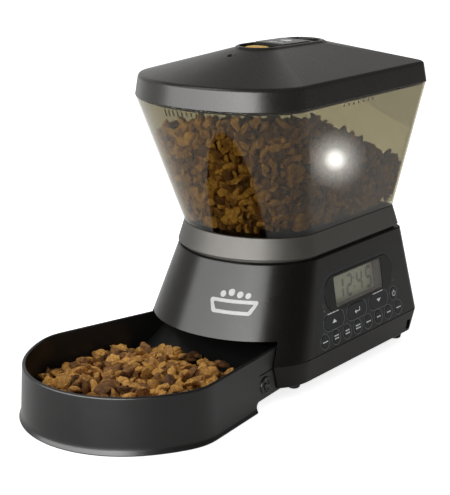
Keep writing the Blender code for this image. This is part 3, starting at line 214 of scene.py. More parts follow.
def moulded(name, colour, roughness, cloud=0.12, grain=2600.0, relief=0.00002, strength=0.06,
            rough_spread=0.05, metallic=0.0, specular=0.5, **extra):
    """Moulded or painted surface: faint clouding, spark-eroded grain and uneven gloss."""
    made, tree, where = new_material(name)
    clouds = tree.noise(where, 22.0, 4.0)
    fine = tree.noise(where, grain, 2.0, 0.6)
    smudge = tree.noise(where, 75.0, 5.0, 0.65)
    values = {
        "Base Color": tree.blend(clouds, shade(colour, 1 - cloud), shade(colour, 1 + cloud)),
        "Roughness": tree.spread(smudge, roughness - rough_spread, roughness + rough_spread),
        "Normal": tree.bump(fine, relief, strength),
        "Metallic": metallic,
        "Specular IOR Level": specular,
    }
    values.update(extra)
    tree.finish(tree.add("ShaderNodeBsdfPrincipled", values))
    made.diffuse_color = (*colour[:3], 1.0)
    return made


def metal(name, colour, roughness, brushed=(1.0, 1.0, 1.0)):
    """Bare metal with drawn or turned marks along one axis."""
    made, tree, where = new_material(name)
    stretched = tree.add("ShaderNodeMapping", {"Vector": where, "Scale": brushed}).outputs["Vector"]
    marks = tree.noise(stretched, 900.0, 3.0)
    tarnish = tree.noise(where, 90.0, 4.0)
    tree.finish(tree.add("ShaderNodeBsdfPrincipled", {
        "Base Color": tree.blend(tarnish, shade(colour, 0.8), shade(colour, 1.1)),
        "Roughness": tree.spread(marks, roughness - 0.08, roughness + 0.10),
        "Metallic": 1.0,
        "Normal": tree.bump(marks, 0.00002, 0.2),
    }))
    made.diffuse_color = (*colour[:3], 1.0)
    return made


def clear(name, tint, roughness, head_on, ripple=0.0):
    """Clear tinted plastic: light goes straight through, and mirrors more towards grazing."""
    made, tree, where = new_material(name)
    waves = tree.noise(where, 14.0, 2.0, 0.4)
    normal = tree.bump(waves, ripple, 1.0)
    facing = tree.add("ShaderNodeLayerWeight", {"Blend": 0.5, "Normal": normal}).outputs["Facing"]
    steep = tree.math("POWER", facing, 5.0)
    mirrored = tree.spread(steep, head_on, 1.0, 0.0, 1.0)
    smears = tree.noise(where, 60.0, 4.0)
    flow = tree.noise(where, 9.0, 3.0)
    through = tree.add("ShaderNodeBsdfTransparent",
                       {"Color": tree.blend(flow, shade(tint, 0.985), shade(tint, 1.015))})
    gloss = tree.add("ShaderNodeBsdfAnisotropic", {
        "Color": (1.0, 1.0, 1.0, 1.0), "Normal": normal,
        "Roughness": tree.spread(smears, max(roughness - 0.02, 0.0), roughness + 0.03)})
    tree.finish(tree.mix(mirrored, through, gloss))
    made.diffuse_color = (*tint[:3], 0.4)
    return made


def crumb(name):
    """Baked food: each piece has its own tone, with a crusty, pitted surface."""
    made, tree, where = new_material(name)
    tone = tree.add("ShaderNodeAttribute", attribute_name="tone").outputs["Fac"]
    patches = tree.noise(where, 260.0, 4.0, 0.6)
    crust = tree.noise(where, 620.0, 4.0, 0.7)
    pits = tree.noise(where, 1500.0, 3.0, 0.65)
    mixed = tree.math("ADD", tree.spread(patches, -0.26, 0.26), tone)
    ramp = tree.add("ShaderNodeValToRGB", {"Fac": mixed})
    stops = ((0.05, (0.11, 0.048, 0.016)), (0.35, (0.25, 0.108, 0.027)), (0.60, (0.50, 0.235, 0.047)),
             (0.95, (0.80, 0.42, 0.094)))
    while len(ramp.color_ramp.elements) < len(stops):
        ramp.color_ramp.elements.new(0.5)
    for element, (position, colour) in zip(ramp.color_ramp.elements, stops):
        element.position = position
        element.color = (*colour, 1.0)
    speckled = tree.add("ShaderNodeHueSaturation", {
        "Color": ramp.outputs["Color"], "Value": tree.spread(crust, 0.45, 1.30)}).outputs["Color"]
    height = tree.math("MULTIPLY_ADD", pits, 0.35, crust)
    tree.finish(tree.add("ShaderNodeBsdfPrincipled", {
        "Base Color": speckled,
        "Roughness": tree.spread(pits, 0.95, 0.62),
        "Specular IOR Level": 0.15,
        "Normal": tree.bump(height, 0.0011, 0.9),
    }))
    made.diffuse_color = (0.4, 0.22, 0.08, 1.0)
    return made


INK = dict(cloud=0.18, grain=3800.0, relief=0.00001)    # printed, slightly uneven in cover


def make_finishes():
    """One finish for each material slot of the record, and the inks and contents beside them."""
    recipes = {
        "lid_plastic": (moulded, (0.0215, 0.0198, 0.0168), 0.28, dict(
            grain=3000.0, strength=0.02, rough_spread=0.02, specular=0.28)),
        "body_plastic": (moulded, (0.0070, 0.0060, 0.0044), 0.24, dict(
            grain=3000.0, strength=0.04, rough_spread=0.025, specular=0.21)),
        "bowl_plastic": (moulded, (0.0112, 0.0106, 0.0104), 0.30, dict(
            grain=3000.0, strength=0.03, rough_spread=0.02, specular=0.32)),
        "hopper_plastic": (clear, (0.628, 0.604, 0.512), 0.014, dict(head_on=0.030, ripple=0.00003)),
        "collar_paint": (moulded, (0.082, 0.077, 0.068), 0.42, dict(
            grain=5200.0, metallic=0.20, cloud=0.05, strength=0.04, specular=0.25)),
        "fascia_plastic": (moulded, (0.0118, 0.0126, 0.0132), 0.40, dict(
            grain=3600.0, strength=0.04, specular=0.26)),
        "key_plastic": (moulded, (0.0070, 0.0078, 0.0090), 0.38, dict(grain=3600.0, specular=0.24)),
        "bezel_gloss": (moulded, (0.0040, 0.0036, 0.0026), 0.14, dict(
            rough_spread=0.02, strength=0.02, specular=0.16)),
        "window_clear": (clear, (0.96, 0.96, 0.955), 0.02, dict(head_on=0.015)),
        "well_plastic": (moulded, (0.135, 0.112, 0.096), 0.62, {}),
        "lcd_face": (moulded, (0.36, 0.352, 0.235), 0.32, dict(cloud=0.05, relief=0.00001)),
        "indicator": (moulded, (0.10, 0.105, 0.075), 0.25, {}),
        "amber_plastic": (moulded, (0.74, 0.42, 0.030), 0.34, dict(cloud=0.06, specular=0.2)),
        "label_metal": (moulded, (0.045, 0.045, 0.045), 0.32, dict(metallic=0.3)),
        "seal_rubber": (moulded, (0.035, 0.035, 0.034), 0.70, dict(relief=0.00008, strength=0.5)),
        "foot_rubber": (moulded, (0.012, 0.012, 0.012), 0.80, dict(relief=0.0001, strength=0.6)),
        "inner_plastic": (moulded, (0.016, 0.016, 0.016), 0.50, {}),
        "gear_plastic": (moulded, (0.72, 0.69, 0.61), 0.42, dict(cloud=0.06)),
        "rotor_plastic": (moulded, (0.070, 0.070, 0.072), 0.48, {}),
        "steel": (metal, (0.56, 0.55, 0.54), 0.30, {}),
        "motor_steel": (metal, (0.58, 0.58, 0.59), 0.32, dict(brushed=(0.1, 1.0, 1.0))),
        "brass": (metal, (0.68, 0.47, 0.18), 0.30, dict(brushed=(0.1, 1.0, 1.0))),
        "board_green": (moulded, (0.012, 0.105, 0.040), 0.36, dict(cloud=0.3)),
        "cell_jacket": (metal, (0.22, 0.23, 0.25), 0.36, dict(brushed=(1.0, 0.1, 1.0))),
        # dark brown of the food's darkest tone: painted shade for the depths of the heap seen between the
        # outer pieces
        "food_core": (moulded, (0.105, 0.052, 0.018), 0.9, dict(
            cloud=0.4, grain=400.0, relief=0.0012, strength=0.9)),
        "ink_grey": (moulded, (0.120, 0.124, 0.128), 0.5, INK),
        "ink_light": (moulded, (0.86, 0.87, 0.87), 0.5, INK),
        "ink_silver": (moulded, (0.34, 0.34, 0.33), 0.34, dict(cloud=0.06)),
        "lcd_segment": (moulded, (0.150, 0.156, 0.120), 0.40, dict(cloud=0.05)),
    }
    finishes = {name: maker(name, colour, roughness, **extra)
                for name, (maker, colour, roughness, extra) in recipes.items()}
    finishes["food"] = crumb("food")
    return finishes


# ---------------------------------------------------------------- mesh tools
def mesh_piece(name, points, faces):
    """Object from points and faces, with its faces pointing out."""
    mesh = bpy.data.meshes.new(name)
    mesh.from_pydata([tuple(point) for point in points], [], faces)
    bm = bmesh.new()
    bm.from_mesh(mesh)
    bmesh.ops.recalc_face_normals(bm, faces=bm.faces)
    bm.to_mesh(mesh)
    bm.free()
    made = bpy.data.objects.new(name, mesh)
    bpy.context.collection.objects.link(made)
    return made


def skin(name, rings, wrap=False):
    """Skin through closed rings of equal length. wrap joins the last ring to the first."""
    count = len(rings[0])
    rows = len(rings)
    faces = []
    for row in range(rows if wrap else rows - 1):
        low, high = row * count, (row + 1) % rows * count
        for index in range(count):
            after = (index + 1) % count
            faces.append((low + index, low + after, high + after, high + index))
    if not wrap:
        faces.append(tuple(range(count)))
        faces.append(tuple(range((rows - 1) * count, rows * count)))
    return mesh_piece(name, np.concatenate([np.asarray(ring, float) for ring in rings]), faces)


def soften(rings, reaches, closed=False, steps=5):
    """Round the corner at each ring, starting its reach (in metres) before it. 0 leaves it sharp."""
    rings = [np.asarray(ring, float) for ring in rings]
    out = []
    for index, (here, reach) in enumerate(zip(rings, reaches)):
        inside = closed or 0 < index < len(rings) - 1
        if not reach or not inside:
            out.append(here)
            continue
        ends = []
        for other in (rings[index - 1], rings[(index + 1) % len(rings)]):
            distance = np.linalg.norm(other - here, axis=1).mean()
            ends.append(here + (other - here) * min(0.49, reach / distance))
        for share in np.linspace(0, 1, steps + 1):
            keep = 1 - share
            out.append(keep * keep * ends[0] + 2 * share * keep * here + share * share * ends[1])
    return out


def between(first, second, count):
    """Rings spaced evenly between two others, without them."""
    return [first + (second - first) * step / (count + 1) for step in range(1, count + 1)]


def circle(radius, steps, centre=(0.0, 0.0)):
    """Outline of a circle."""
    turns = [2 * math.pi * index / steps for index in range(steps)]
    return [(centre[0] + radius * math.cos(t), centre[1] + radius * math.sin(t)) for t in turns]


def arc(centre, radius, start, end, steps):
    """Points along an arc between two angles, with both ends."""
    turns = [start + (end - start) * index / steps for index in range(steps + 1)]
    return [(centre[0] + radius * math.cos(t), centre[1] + radius * math.sin(t)) for t in turns]


def rounded_polygon(corners, steps=10):
    """Outline through corners given as (x, y, fillet radius), counter-clockwise."""
    points = []
    count = len(corners)
    for index, (x, y, radius) in enumerate(corners):
        here = Vector((x, y))
        to_last = (Vector(corners[index - 1][:2]) - here).normalized()
        to_next = (Vector(corners[(index + 1) % count][:2]) - here).normalized()
        half_angle = to_last.angle(to_next) / 2
        middle = here + (to_last + to_next).normalized() * (radius / math.sin(half_angle))
        start = here + to_last * (radius / math.tan(half_angle)) - middle
        turn = math.pi - 2 * half_angle
        for step in range(steps + 1):
            angle = turn * step / steps
            points.append((middle.x + start.x * math.cos(angle) - start.y * math.sin(angle),
                           middle.y + start.x * math.sin(angle) + start.y * math.cos(angle)))
    return points


def rounded_rectangle(centre, size, radius, steps=10):
    half_x, half_y = size[0] / 2, size[1] / 2
    signs = ((-1, -1), (1, -1), (1, 1), (-1, 1))
    corners = [(centre[0] + half_x * i, centre[1] + half_y * j, radius) for i, j in signs]
    return rounded_polygon(corners, steps)


def grown_rectangle(centre, size, radius, grow, steps=10):
    """Rounded rectangle with a margin all round."""
    return rounded_rectangle(centre, (size[0] + 2 * grow, size[1] + 2 * grow), radius + grow, steps)


def upright(middle, half, low, high):
    """Corners of a bar from low to high."""
    return [(middle - half, low), (middle + half, low), (middle + half, high), (middle - half, high)]


def plan_middle(low, high):
    """Middle of a box, in plan."""
    return (low.x + high.x) / 2, (low.y + high.y) / 2


def flat(outline, height, axis="z"):
    """Outline of two coordinates a point as a ring at a height along an axis."""
    place = {"x": 0, "y": 1, "z": 2}[axis]
    return np.insert(np.asarray(outline, float), place, height, axis=1)


def prism(name, outline, axis, low, high):
    """Solid of one outline from low to high along an axis."""
    return skin(name, [flat(outline, low, axis), flat(outline, high, axis)])


def box(name, low, high):
    """Block between two corners."""
    plan = [(low[0], low[1]), (high[0], low[1]), (high[0], high[1]), (low[0], high[1])]
    return prism(name, plan, "z", low[2], high[2])


def turned(name, profile, steps, centre=(0.0, 0.0)):
    """Upright solid of revolution: profile is (radius, height) pairs."""
    return skin(name, [flat(circle(radius, steps, centre), height) for radius, height in profile])


def boolean(piece, tool, operation):
    """Change a piece by a tool, which is then removed."""
    step = piece.modifiers.new(operation.lower(), "BOOLEAN")
    step.operation = operation
    step.solver = "EXACT"
    step.object = tool
    bpy.context.view_layer.update()
    graph = bpy.context.evaluated_depsgraph_get()
    result = bpy.data.meshes.new_from_object(piece.evaluated_get(graph))
    piece.modifiers.clear()
    piece.data = result
    bpy.data.objects.remove(tool)
    return piece


def cut(piece, *tools):
    """Take tools away from a piece."""
    for tool in tools:
        boolean(piece, tool, "DIFFERENCE")
    return piece


def join(piece, *tools):
    """Unite tools with a piece."""
    for tool in tools:
        boolean(piece, tool, "UNION")
    return piece


def dress(piece, slot, body, *nodes, finish=None, sharp=38.0, edge=0.0):
    """Give a piece the finish of its slot, or the finish given, and its body, and hide the CAD nodes that it
    stands for.
    """
    piece.data.materials.clear()
    piece.data.materials.append(FINISH[finish or slot])
    piece.data.shade_smooth()
    piece.data.set_sharp_from_angle(angle=math.radians(sharp))
    if edge:
        bevel = piece.modifiers.new("edges", "BEVEL")
        bevel.width = edge
        bevel.segments = 2
        bevel.limit_method = "ANGLE"
        bevel.angle_limit = math.radians(sharp)
        bevel.harden_normals = False
    normals = piece.modifiers.new("normals", "WEIGHTED_NORMAL")
    normals.keep_sharp = True
    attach(piece, body)
    if nodes:
        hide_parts(*nodes)
    return piece


# ---------------------------------------------------------------- housing plan
def plan_ring(station, inset=0.0, corner=REAR_CORNER, z=None, taper=SIDE_TAPER):
    """Plan of the housing: half ellipse in front, converging sides and rounded rear corners."""
    half, front, rear = station.half_width - inset, station.front + inset, station.rear - inset
    radius = max(corner - inset, 0.0015)
    lean = math.atan(taper)
    arc_y = rear - radius
    arc_x = half - taper * (arc_y - station.centre) - radius / math.cos(lean)
    right = arc((arc_x, arc_y), radius, lean, math.pi / 2, CORNER_STEPS)
    left = [(-x, y) for x, y in reversed(right)]
    nose = nose_curve(half, station.centre - front, station.centre, taper, HOUSING_EASE)
    return flat(right + left + nose, station.z if z is None else z)


def nose_curve(half, depth, centre, taper, ease):
    """Half ellipse whose ends lean in with the tapered sides, so that no crease shows between them."""
    points = []
    for k in range(FRONT_STEPS + 1):
        t = math.pi - math.pi * k / FRONT_STEPS
        lean = taper * depth * math.sin(t) * abs(math.cos(t)) ** ease
        points.append((half * math.cos(t) + math.copysign(lean, math.cos(t)), centre - depth * math.sin(t)))
    return points


def blend_station(upper, lower, z):
    """Plan of a straight wall between two stations, at height z."""
    share = (upper.z - z) / (upper.z - lower.z)
    return Station(z, *[a + (b - a) * share for a, b in zip(upper[1:], lower[1:])])


def on_front(along, z, upper, lower, lift=0.0):
    """Point on the curved front at height z, at a distance along the curve from the middle."""
    station = blend_station(upper, lower, z)
    half, depth = station.half_width, station.centre - station.front
    turn, walked, step = 0.0, 0.0, 0.01
    while walked < abs(along):
        walked += step * math.hypot(half * math.cos(turn), depth * math.sin(turn))
        turn += step
    turn -= (walked - abs(along)) / math.hypot(half * math.cos(turn), depth * math.sin(turn))
    side = math.copysign(1.0, along)
    lean = SIDE_TAPER * depth * math.cos(turn) * math.sin(turn) ** HOUSING_EASE
    here = Vector((side * (half * math.sin(turn) + lean), station.centre - depth * math.cos(turn), z))
    normal = Vector((side * math.sin(turn) / half, -math.cos(turn) / depth, 0.0)).normalized()
    rise = (lower.centre - lower.front - upper.centre + upper.front) / (upper.z - lower.z)
    normal = (normal + Vector((0, 0, rise * 0.9))).normalized()
    return here + normal * lift


# ---------------------------------------------------------------- lid
def recess_outline(inset=0.0):
    """Stadium round both finger recesses."""
    radius = RECESS_HALF_WIDTH - inset
    front = (0.0, RECESS_FRONT + RECESS_HALF_WIDTH)
    rear = (0.0, RECESS_REAR - RECESS_HALF_WIDTH)
    return arc(rear, radius, 0, math.pi, 24) + arc(front, radius, math.pi, 2 * math.pi, 24)


def finger_well(rear):
    """Cutter for one of the two finger recesses, with a rolled edge at its mouth."""
    top, roll = LID_PLATEAU.z, 0.0010
    rings = [flat(recess_outline(0.0012), top - RECESS_DEPTH),
             flat(recess_outline(), top - RECESS_DEPTH + 0.0012),
             flat(recess_outline(), top - roll)]
    for share in (0.35, 0.7, 1.0):
        swell = roll * (1 - math.cos(share * math.pi / 2))
        rings.append(flat(recess_outline(-swell), top - roll + roll * math.sin(share * math.pi / 2)))
    rings.append(flat(recess_outline(-roll), top + 0.005))
    well = skin("well", rings)
    low_y, high_y = (-0.05, BAR_REAR) if rear else (BAR_FRONT, 0.20)
    return cut(well, box("bar_side", (-0.05, low_y, 0.2), (0.05, high_y, 0.35)))


def make_lid():
    """Moulded cap: sloping top, softly creased skirt, two finger wells and a bar between them."""
    crease, brow = plan_ring(LID_CREASE), plan_ring(LID_BROW, 0, PLATEAU_CORNER, taper=0)
    top = plan_ring(LID_PLATEAU, 0, PLATEAU_CORNER, taper=0)
    inner_top = plan_ring(LID_PLATEAU, 0.006, PLATEAU_CORNER, taper=0)
    key_rings = [plan_ring(LID_BOTTOM, 0.0030), plan_ring(LID_BOTTOM), crease, brow, top, inner_top]
    outer = soften(key_rings, (0, 0.0007, 0.0030, 0.0016, 0.0014, 0), steps=6)
    slope = next(k for k, ring in enumerate(outer) if ring[:, 2].mean() > LID_CREASE.z + 0.0002)
    outer[slope + 1:slope + 1] = between(outer[slope], outer[slope + 1], 7)
    lid = skin("lid_shell", outer)
    shelf_z = LID_BOTTOM.z + SHELF_THICKNESS
    inner = [plan_ring(LID_BOTTOM, SHELF_WIDTH, z=LID_BOTTOM.z - 0.001),
             plan_ring(LID_BOTTOM, SHELF_WIDTH, z=shelf_z),
             plan_ring(LID_BOTTOM, LID_WALL + 0.0004, z=shelf_z + 0.0002),
             plan_ring(LID_CREASE, LID_WALL, z=LID_CREASE.z - LID_WALL),
             plan_ring(LID_BROW, 0, PLATEAU_CORNER, z=LID_BROW.z - LID_WALL, taper=0)]
    cavity = skin("cavity", inner)
    well_bottom = LID_PLATEAU.z - RECESS_DEPTH - WELL_WALL
    cut(cavity, prism("block", recess_outline(-WELL_WALL), "z", well_bottom, ABOVE_ALL))
    cut(lid, cavity, finger_well(rear=False), finger_well(rear=True))
    fall = (LID_CREASE.z - LID_BROW.z) * (LID_BROW.front - VENT_Y)
    vent_z = LID_BROW.z + fall / (LID_BROW.front - LID_CREASE.front)
    sink = ((VENT_RADIUS, 0.27), (VENT_RADIUS, vent_z - 0.0014), (VENT_RADIUS + 0.0016, vent_z + 0.0007),
            (VENT_RADIUS + 0.0016, ABOVE_ALL))
    cut(lid, turned("vent", sink, 32, centre=(0.0, VENT_Y)))
    dress(lid, "lid_plastic", "lid", "lid", sharp=40)


def make_lid_seal():
    """Soft lip below the lid that fits inside the hopper's mouth, with two raised beads."""
    top, low = HOPPER_TOP, HOPPER_TOP.z - SEAL_HEIGHT
    bottom = blend_station(HOPPER_TOP, HOPPER_BOTTOM, low)
    outer, inner = WALL + 0.0008, WALL + 0.0008 + SEAL_THICKNESS
    rings = [plan_ring(top, outer), plan_ring(bottom, outer), plan_ring(bottom, inner), plan_ring(top, inner)]
    seal = skin("seal_lip", soften(rings, (0.0003, 0.0008, 0.0008, 0.0003), closed=True, steps=4), wrap=True)
    dress(seal, "seal_rubber", "lid", "lid_seal")


def make_label_plate():
    """Plate let into the bar, with a printed bowl and two arrows for the lid's release."""
    centre_y = (BAR_FRONT + BAR_REAR) / 2
    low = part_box("lid_label_plate")[0].z
    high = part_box("lid_label_plate")[1].z
    size = (2 * RECESS_HALF_WIDTH - 0.002, BAR_REAR - BAR_FRONT - 0.002)
    outline = rounded_rectangle((0, centre_y), size, 0.0015, 6)
    trimmed = rounded_rectangle((0, centre_y), (size[0] - 0.0006, size[1] - 0.0006), 0.0012, 6)
    rings = [flat(outline, low), flat(outline, high - 0.0002), flat(trimmed, high)]
    dress(skin("label_plate", rings), "label_metal", "lid", "lid_label_plate")
    sketch = Sketch()
    bowl = [(-0.0062, 0.0), (0.0062, 0.0), (0.0048, -0.0048), (-0.0048, -0.0048)]
    sketch.plate(rounded_polygon([(x, y + centre_y + 0.0058, 0.0008) for x, y in reversed(bowl)], 4))
    for x, y in ((-0.0026, 0.0016), (0.0, 0.0028), (0.0026, 0.0016)):
        sketch.plate(circle(0.0011, 14, (x, y + centre_y + 0.0058)))
    for side in (-1, 1):
        tip = centre_y - 0.0100
        sketch.plate([(side * 0.0085, tip), (side * 0.0055, tip + 0.0020), (side * 0.0055, tip - 0.0020)])
        sketch.plate(rounded_rectangle((side * 0.0040, tip), (0.0040, 0.0012), 0.0004, 3))
    sketch.plate(circle(0.0016, 18, (0.0, centre_y - 0.0100)))
    piece = sketch.piece("label_print", lambda a, b, c: (a, b, high + c))
    dress(piece, "label_metal", "lid", finish="ink_light")


def make_latch():
    """Amber push button with a domed top and three grooves in it, and the spring under it."""
    low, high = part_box("lid_latch_button")
    middle_y = (low.y + high.y) / 2
    width, length = high.x - low.x, high.y - low.y
    profile = [(low.z, 0.0), (high.z - 0.0016, 0.0)]
    profile += [(high.z - 0.0016 + 0.0016 * math.sin(t), 0.0030 * (1 - math.cos(t))) for t in
                np.linspace(0.15, math.pi / 2, 8)]
    rings = []
    for z, inset in profile:
        plan = rounded_rectangle((0, middle_y), (width - 2 * inset, length - 2 * inset),
                                 max(LATCH_CORNER - inset, 0.001), 8)
        rings.append(flat(plan, z))
    button = skin("latch_button", rings)
    for y in (-0.0030, 0.0, 0.0030):
        groove = rounded_rectangle((0, middle_y + y), (0.0110, 0.0008), 0.00035, 3)
        cut(button, prism("groove", groove, "z", high.z - 0.0004, high.z + 0.001))
    dress(button, "amber_plastic", "lid_latch", "lid_latch_button", sharp=30)

    floor_z = LID_PLATEAU.z - RECESS_DEPTH
    foot = floor_z + GAP + SPRING_WIRE
    length = low.z - floor_z - 2 * GAP - 2 * SPRING_WIRE
    steps = SPRING_TURNS * 32
    path = []
    for index in range(steps + 1):
        turn = 2 * math.pi * SPRING_TURNS * index / steps
        path.append(Vector((SPRING_RADIUS * math.cos(turn), middle_y + SPRING_RADIUS * math.sin(turn),
                            foot + length * index / steps)))
    spring = sweep("button_spring", path, SPRING_WIRE, 10)
    dress(spring, "steel", "lid", "latch_spring", sharp=60)
    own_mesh(spring)


def sweep(name, path, radius, sides):
    """Round wire along a path of points."""
    rings = []
    for index, here in enumerate(path):
        ahead = path[min(index + 1, len(path) - 1)] - path[max(index - 1, 0)]
        side = ahead.cross(Vector((0, 0, 1))).normalized()
        up = side.cross(ahead).normalized()
        rings.append([here + side * x + up * y for x, y in circle(radius, sides)])
    return skin(name, rings)


class Sketch:
    """Thin printed or raised marks drawn in a plane and then laid on a surface."""

    def __init__(self, thickness=PRINT):
        self.points, self.faces, self.thickness = [], [], thickness

    def plate(self, outline, low=0.0):
        """Filled outline."""
        start, count = len(self.points), len(outline)
        high = low + self.thickness
        self.points += [(x, y, low) for x, y in outline] + [(x, y, high) for x, y in outline]
        self.faces.append(tuple(range(start, start + count)))
        self.faces.append(tuple(range(start + count, start + 2 * count)))
        self.walls(start, start + count, count)

    def band(self, outer, inner, low=0.0):
        """Closed line between two outlines of equal length."""
        start, count = len(self.points), len(outer)
        high = low + self.thickness
        for outline, height in ((outer, low), (outer, high), (inner, high), (inner, low)):
            self.points += [(x, y, height) for x, y in outline]
        for row in range(4):
            self.walls(start + row * count, start + (row + 1) % 4 * count, count)

    def stroke(self, path, width, low=0.0):
        """Open line of even width along a path, with square ends."""
        left, right = [], []
        for index, here in enumerate(path):
            before, after = Vector(path[max(index - 1, 0)]), Vector(path[min(index + 1, len(path) - 1)])
            normal = (after - before).normalized().orthogonal() * (width / 2)
            left.append(tuple(Vector(here) + normal))
            right.append(tuple(Vector(here) - normal))
        start, count = len(self.points), len(path)
        high = low + self.thickness
        for outline, height in ((left, low), (left, high), (right, high), (right, low)):
            self.points += [(x, y, height) for x, y in outline]
        for row in range(4):
            low_row, high_row = start + row * count, start + (row + 1) % 4 * count
            for index in range(count - 1):
                self.faces.append((low_row + index, low_row + index + 1,
                                   high_row + index + 1, high_row + index))
        for end in (0, count - 1):
            self.faces.append(tuple(start + row * count + end for row in range(4)))

    def walls(self, low, high, count):
        """Faces between two closed rows of points."""
        for index in range(count):
            after = (index + 1) % count
            self.faces.append((low + index, low + after, high + after, high + index))

    def piece(self, name, place):
        """Object whose points are place(a, b, c)."""
        return mesh_piece(name, [tuple(place(*point)) for point in self.points], self.faces)


# ---------------------------------------------------------------- hopper and collar
def make_hopper():
    """Clear bin with rounded edges, a neck inside the collar and a funnel floor."""
    outlet_outer = Station(OUTLET.z, OUTLET.half_width + WALL, OUTLET.front - WALL, OUTLET.centre,
                           OUTLET.rear + WALL)
    rings = [
        plan_ring(HOPPER_TOP),
        plan_ring(HOPPER_BOTTOM),
        plan_ring(HOPPER_BOTTOM, NECK_INSET),
        plan_ring(HOPPER_BOTTOM, NECK_INSET, z=NECK_BOTTOM_Z),
        plan_ring(outlet_outer, 0, 0.006, z=OUTLET.z + 0.0008),
        plan_ring(outlet_outer, 0, 0.006),
        plan_ring(OUTLET, 0, 0.0036),
        plan_ring(OUTLET, 0, 0.0036, z=OUTLET_TOP_Z),
        plan_ring(HOPPER_BOTTOM, NECK_INSET + WALL, z=FUNNEL_TOP_Z),
        plan_ring(HOPPER_BOTTOM, NECK_INSET + WALL, z=HOPPER_BOTTOM.z + 0.0010),
        plan_ring(blend_station(HOPPER_TOP, HOPPER_BOTTOM, SHOULDER_Z), HOPPER_WALL),
        plan_ring(HOPPER_TOP, HOPPER_WALL),
    ]
    reaches = (0.0006, 0.0009, 0, 0.0010, 0, 0, 0, 0.0010, 0.0012, 0.0014, 0, 0.0006)
    hopper = skin("hopper_bin", soften(rings, reaches, closed=True, steps=4), wrap=True)
    return dress(hopper, "hopper_plastic", "hopper", "hopper", sharp=50)


def make_rim_ribs():
    """Short moulded ribs under the hopper's rim, at its front and on its right side."""
    inner = HOPPER_WALL + 0.0001
    upper, lower = (station._replace(half_width=station.half_width - inner, front=station.front + inner)
                    for station in (HOPPER_TOP, HOPPER_BOTTOM))
    half_rib, top = 0.0003, HOPPER_TOP.z - SEAL_HEIGHT - 0.0006
    front = Sketch(0.0009)
    for index in range(8):
        along, height = -0.0150 + 0.0050 * index, 0.0062 - 0.0005 * index
        front.plate(upright(along, half_rib, top - height, top))
    piece = front.piece("rim_ribs_front", lambda along, z, c: on_front(along, z, upper, lower, -c))
    dress(piece, "hopper_plastic", "hopper", finish="well_plastic")
    side = Sketch(0.0009)
    for index in range(7):
        side.plate(upright(0.0645 + 0.0076 * index, half_rib, top - 0.0022, top))

    def on_side(y, z, c):
        station = blend_station(upper, lower, z)
        return Vector((station.half_width - SIDE_TAPER * (y - station.centre) - c, y, z))

    dress(side.piece("rim_ribs_side", on_side), "hopper_plastic", "hopper", finish="well_plastic")


def make_collar():
    """Painted ring that carries the hopper, with an inset spigot over the body."""
    bore = NECK_INSET - GAP
    deck = BODY_TOP.z + GAP
    rings = [
        plan_ring(COLLAR_TOP),
        plan_ring(COLLAR_BOTTOM),
        plan_ring(COLLAR_BOTTOM, SPIGOT_INSET),
        plan_ring(COLLAR_BOTTOM, SPIGOT_INSET, z=deck),
        plan_ring(COLLAR_TOP, bore, z=deck),
        plan_ring(COLLAR_TOP, bore),
    ]
    collar = skin("collar", soften(rings, (0.0006, 0.0008, 0.0004, 0, 0, 0.0004), closed=True), wrap=True)
    dress(collar, "collar_paint", "base", "collar_ring")


# ---------------------------------------------------------------- body and base tray
def panel_matrix():
    """Axes of the control panel: on the right wall, a to the rear, b up and c outwards."""
    rise = (BODY_BOTTOM.half_width + SIDE_TAPER * BODY_BOTTOM.centre
            - BODY_TOP.half_width - SIDE_TAPER * BODY_TOP.centre) / (BODY_TOP.z - BODY_BOTTOM.z)
    outward = Vector((1.0, SIDE_TAPER, rise)).normalized()
    along = Vector((-SIDE_TAPER, 1.0, 0.0)).normalized()
    upward = outward.cross(along)
    here = blend_station(BODY_TOP, BODY_BOTTOM, PANEL_Z)
    x = here.half_width - SIDE_TAPER * (PANEL_Y - here.centre)
    turn = Matrix((along, upward, outward)).transposed().to_4x4()
    return Matrix.Translation((x, PANEL_Y, PANEL_Z)) @ turn


def grown(corners, amount):
    """Rounded corners moved out from the middle by an amount."""
    return [(x + math.copysign(amount, x), y + math.copysign(amount, y), radius + amount)
            for x, y, radius in corners]


def bowl_draft(z):
    """How far the bowl's wall stands out beyond its rim at height z."""
    return BOWL_DRAFT * (BOWL_RIM_Z - z) / BOWL_RIM_Z


def bowl_space(extra=0.0):
    """Space for the rear of the bowl under the body, with its sides parallel to the bowl's."""
    front_y, rear_y = -0.08, NOTCH_REAR_Y + extra

    def ring(z):
        edge = BOWL_HALF_WIDTH + ARCH_CLEARANCE + bowl_draft(z) + extra
        rear, front = (edge - BOWL_TAPER * (y - BOWL_CENTRE_Y) for y in (rear_y, front_y))
        return [(-rear, rear_y, z), (-front, front_y, z), (front, front_y, z), (rear, rear_y, z)]

    return skin("bowl_space", [ring(0.0), ring(ARCH_TOP_Z)])


def make_upper_body():
    """Housing shell with a deck on top, an arch for the bowl and an opening for the panel."""
    rings = [plan_ring(BODY_BOTTOM, 0.0030), plan_ring(BODY_BOTTOM),
             plan_ring(BODY_TOP), plan_ring(BODY_TOP, 0.0060)]
    body = skin("body_shell", soften(rings, (0, 0.0006, 0.0014, 0)))
    below = BODY_BOTTOM._replace(z=BODY_BOTTOM.z - 0.001)
    cut(body, skin("cavity", [plan_ring(below, WALL), plan_ring(BODY_TOP, WALL, z=BODY_TOP.z - WALL)]))
    cut(body, bowl_space())
    rotor_low, rotor_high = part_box("rotor_housing")
    rotor_y = (rotor_low.y + rotor_high.y) / 2
    cut(body, prism("throat", rounded_rectangle((0, rotor_y), (0.060, 0.042), 0.003, 6), "z", 0.105, 0.12))
    opening = prism("opening", rounded_polygon(grown(FASCIA_CORNERS, GAP)), "z", -0.004, 0.004)
    opening.matrix_world = panel_matrix()
    cut(body, opening)
    dress(body, "body_plastic", "base", "upper_body", sharp=35, edge=0.0003)


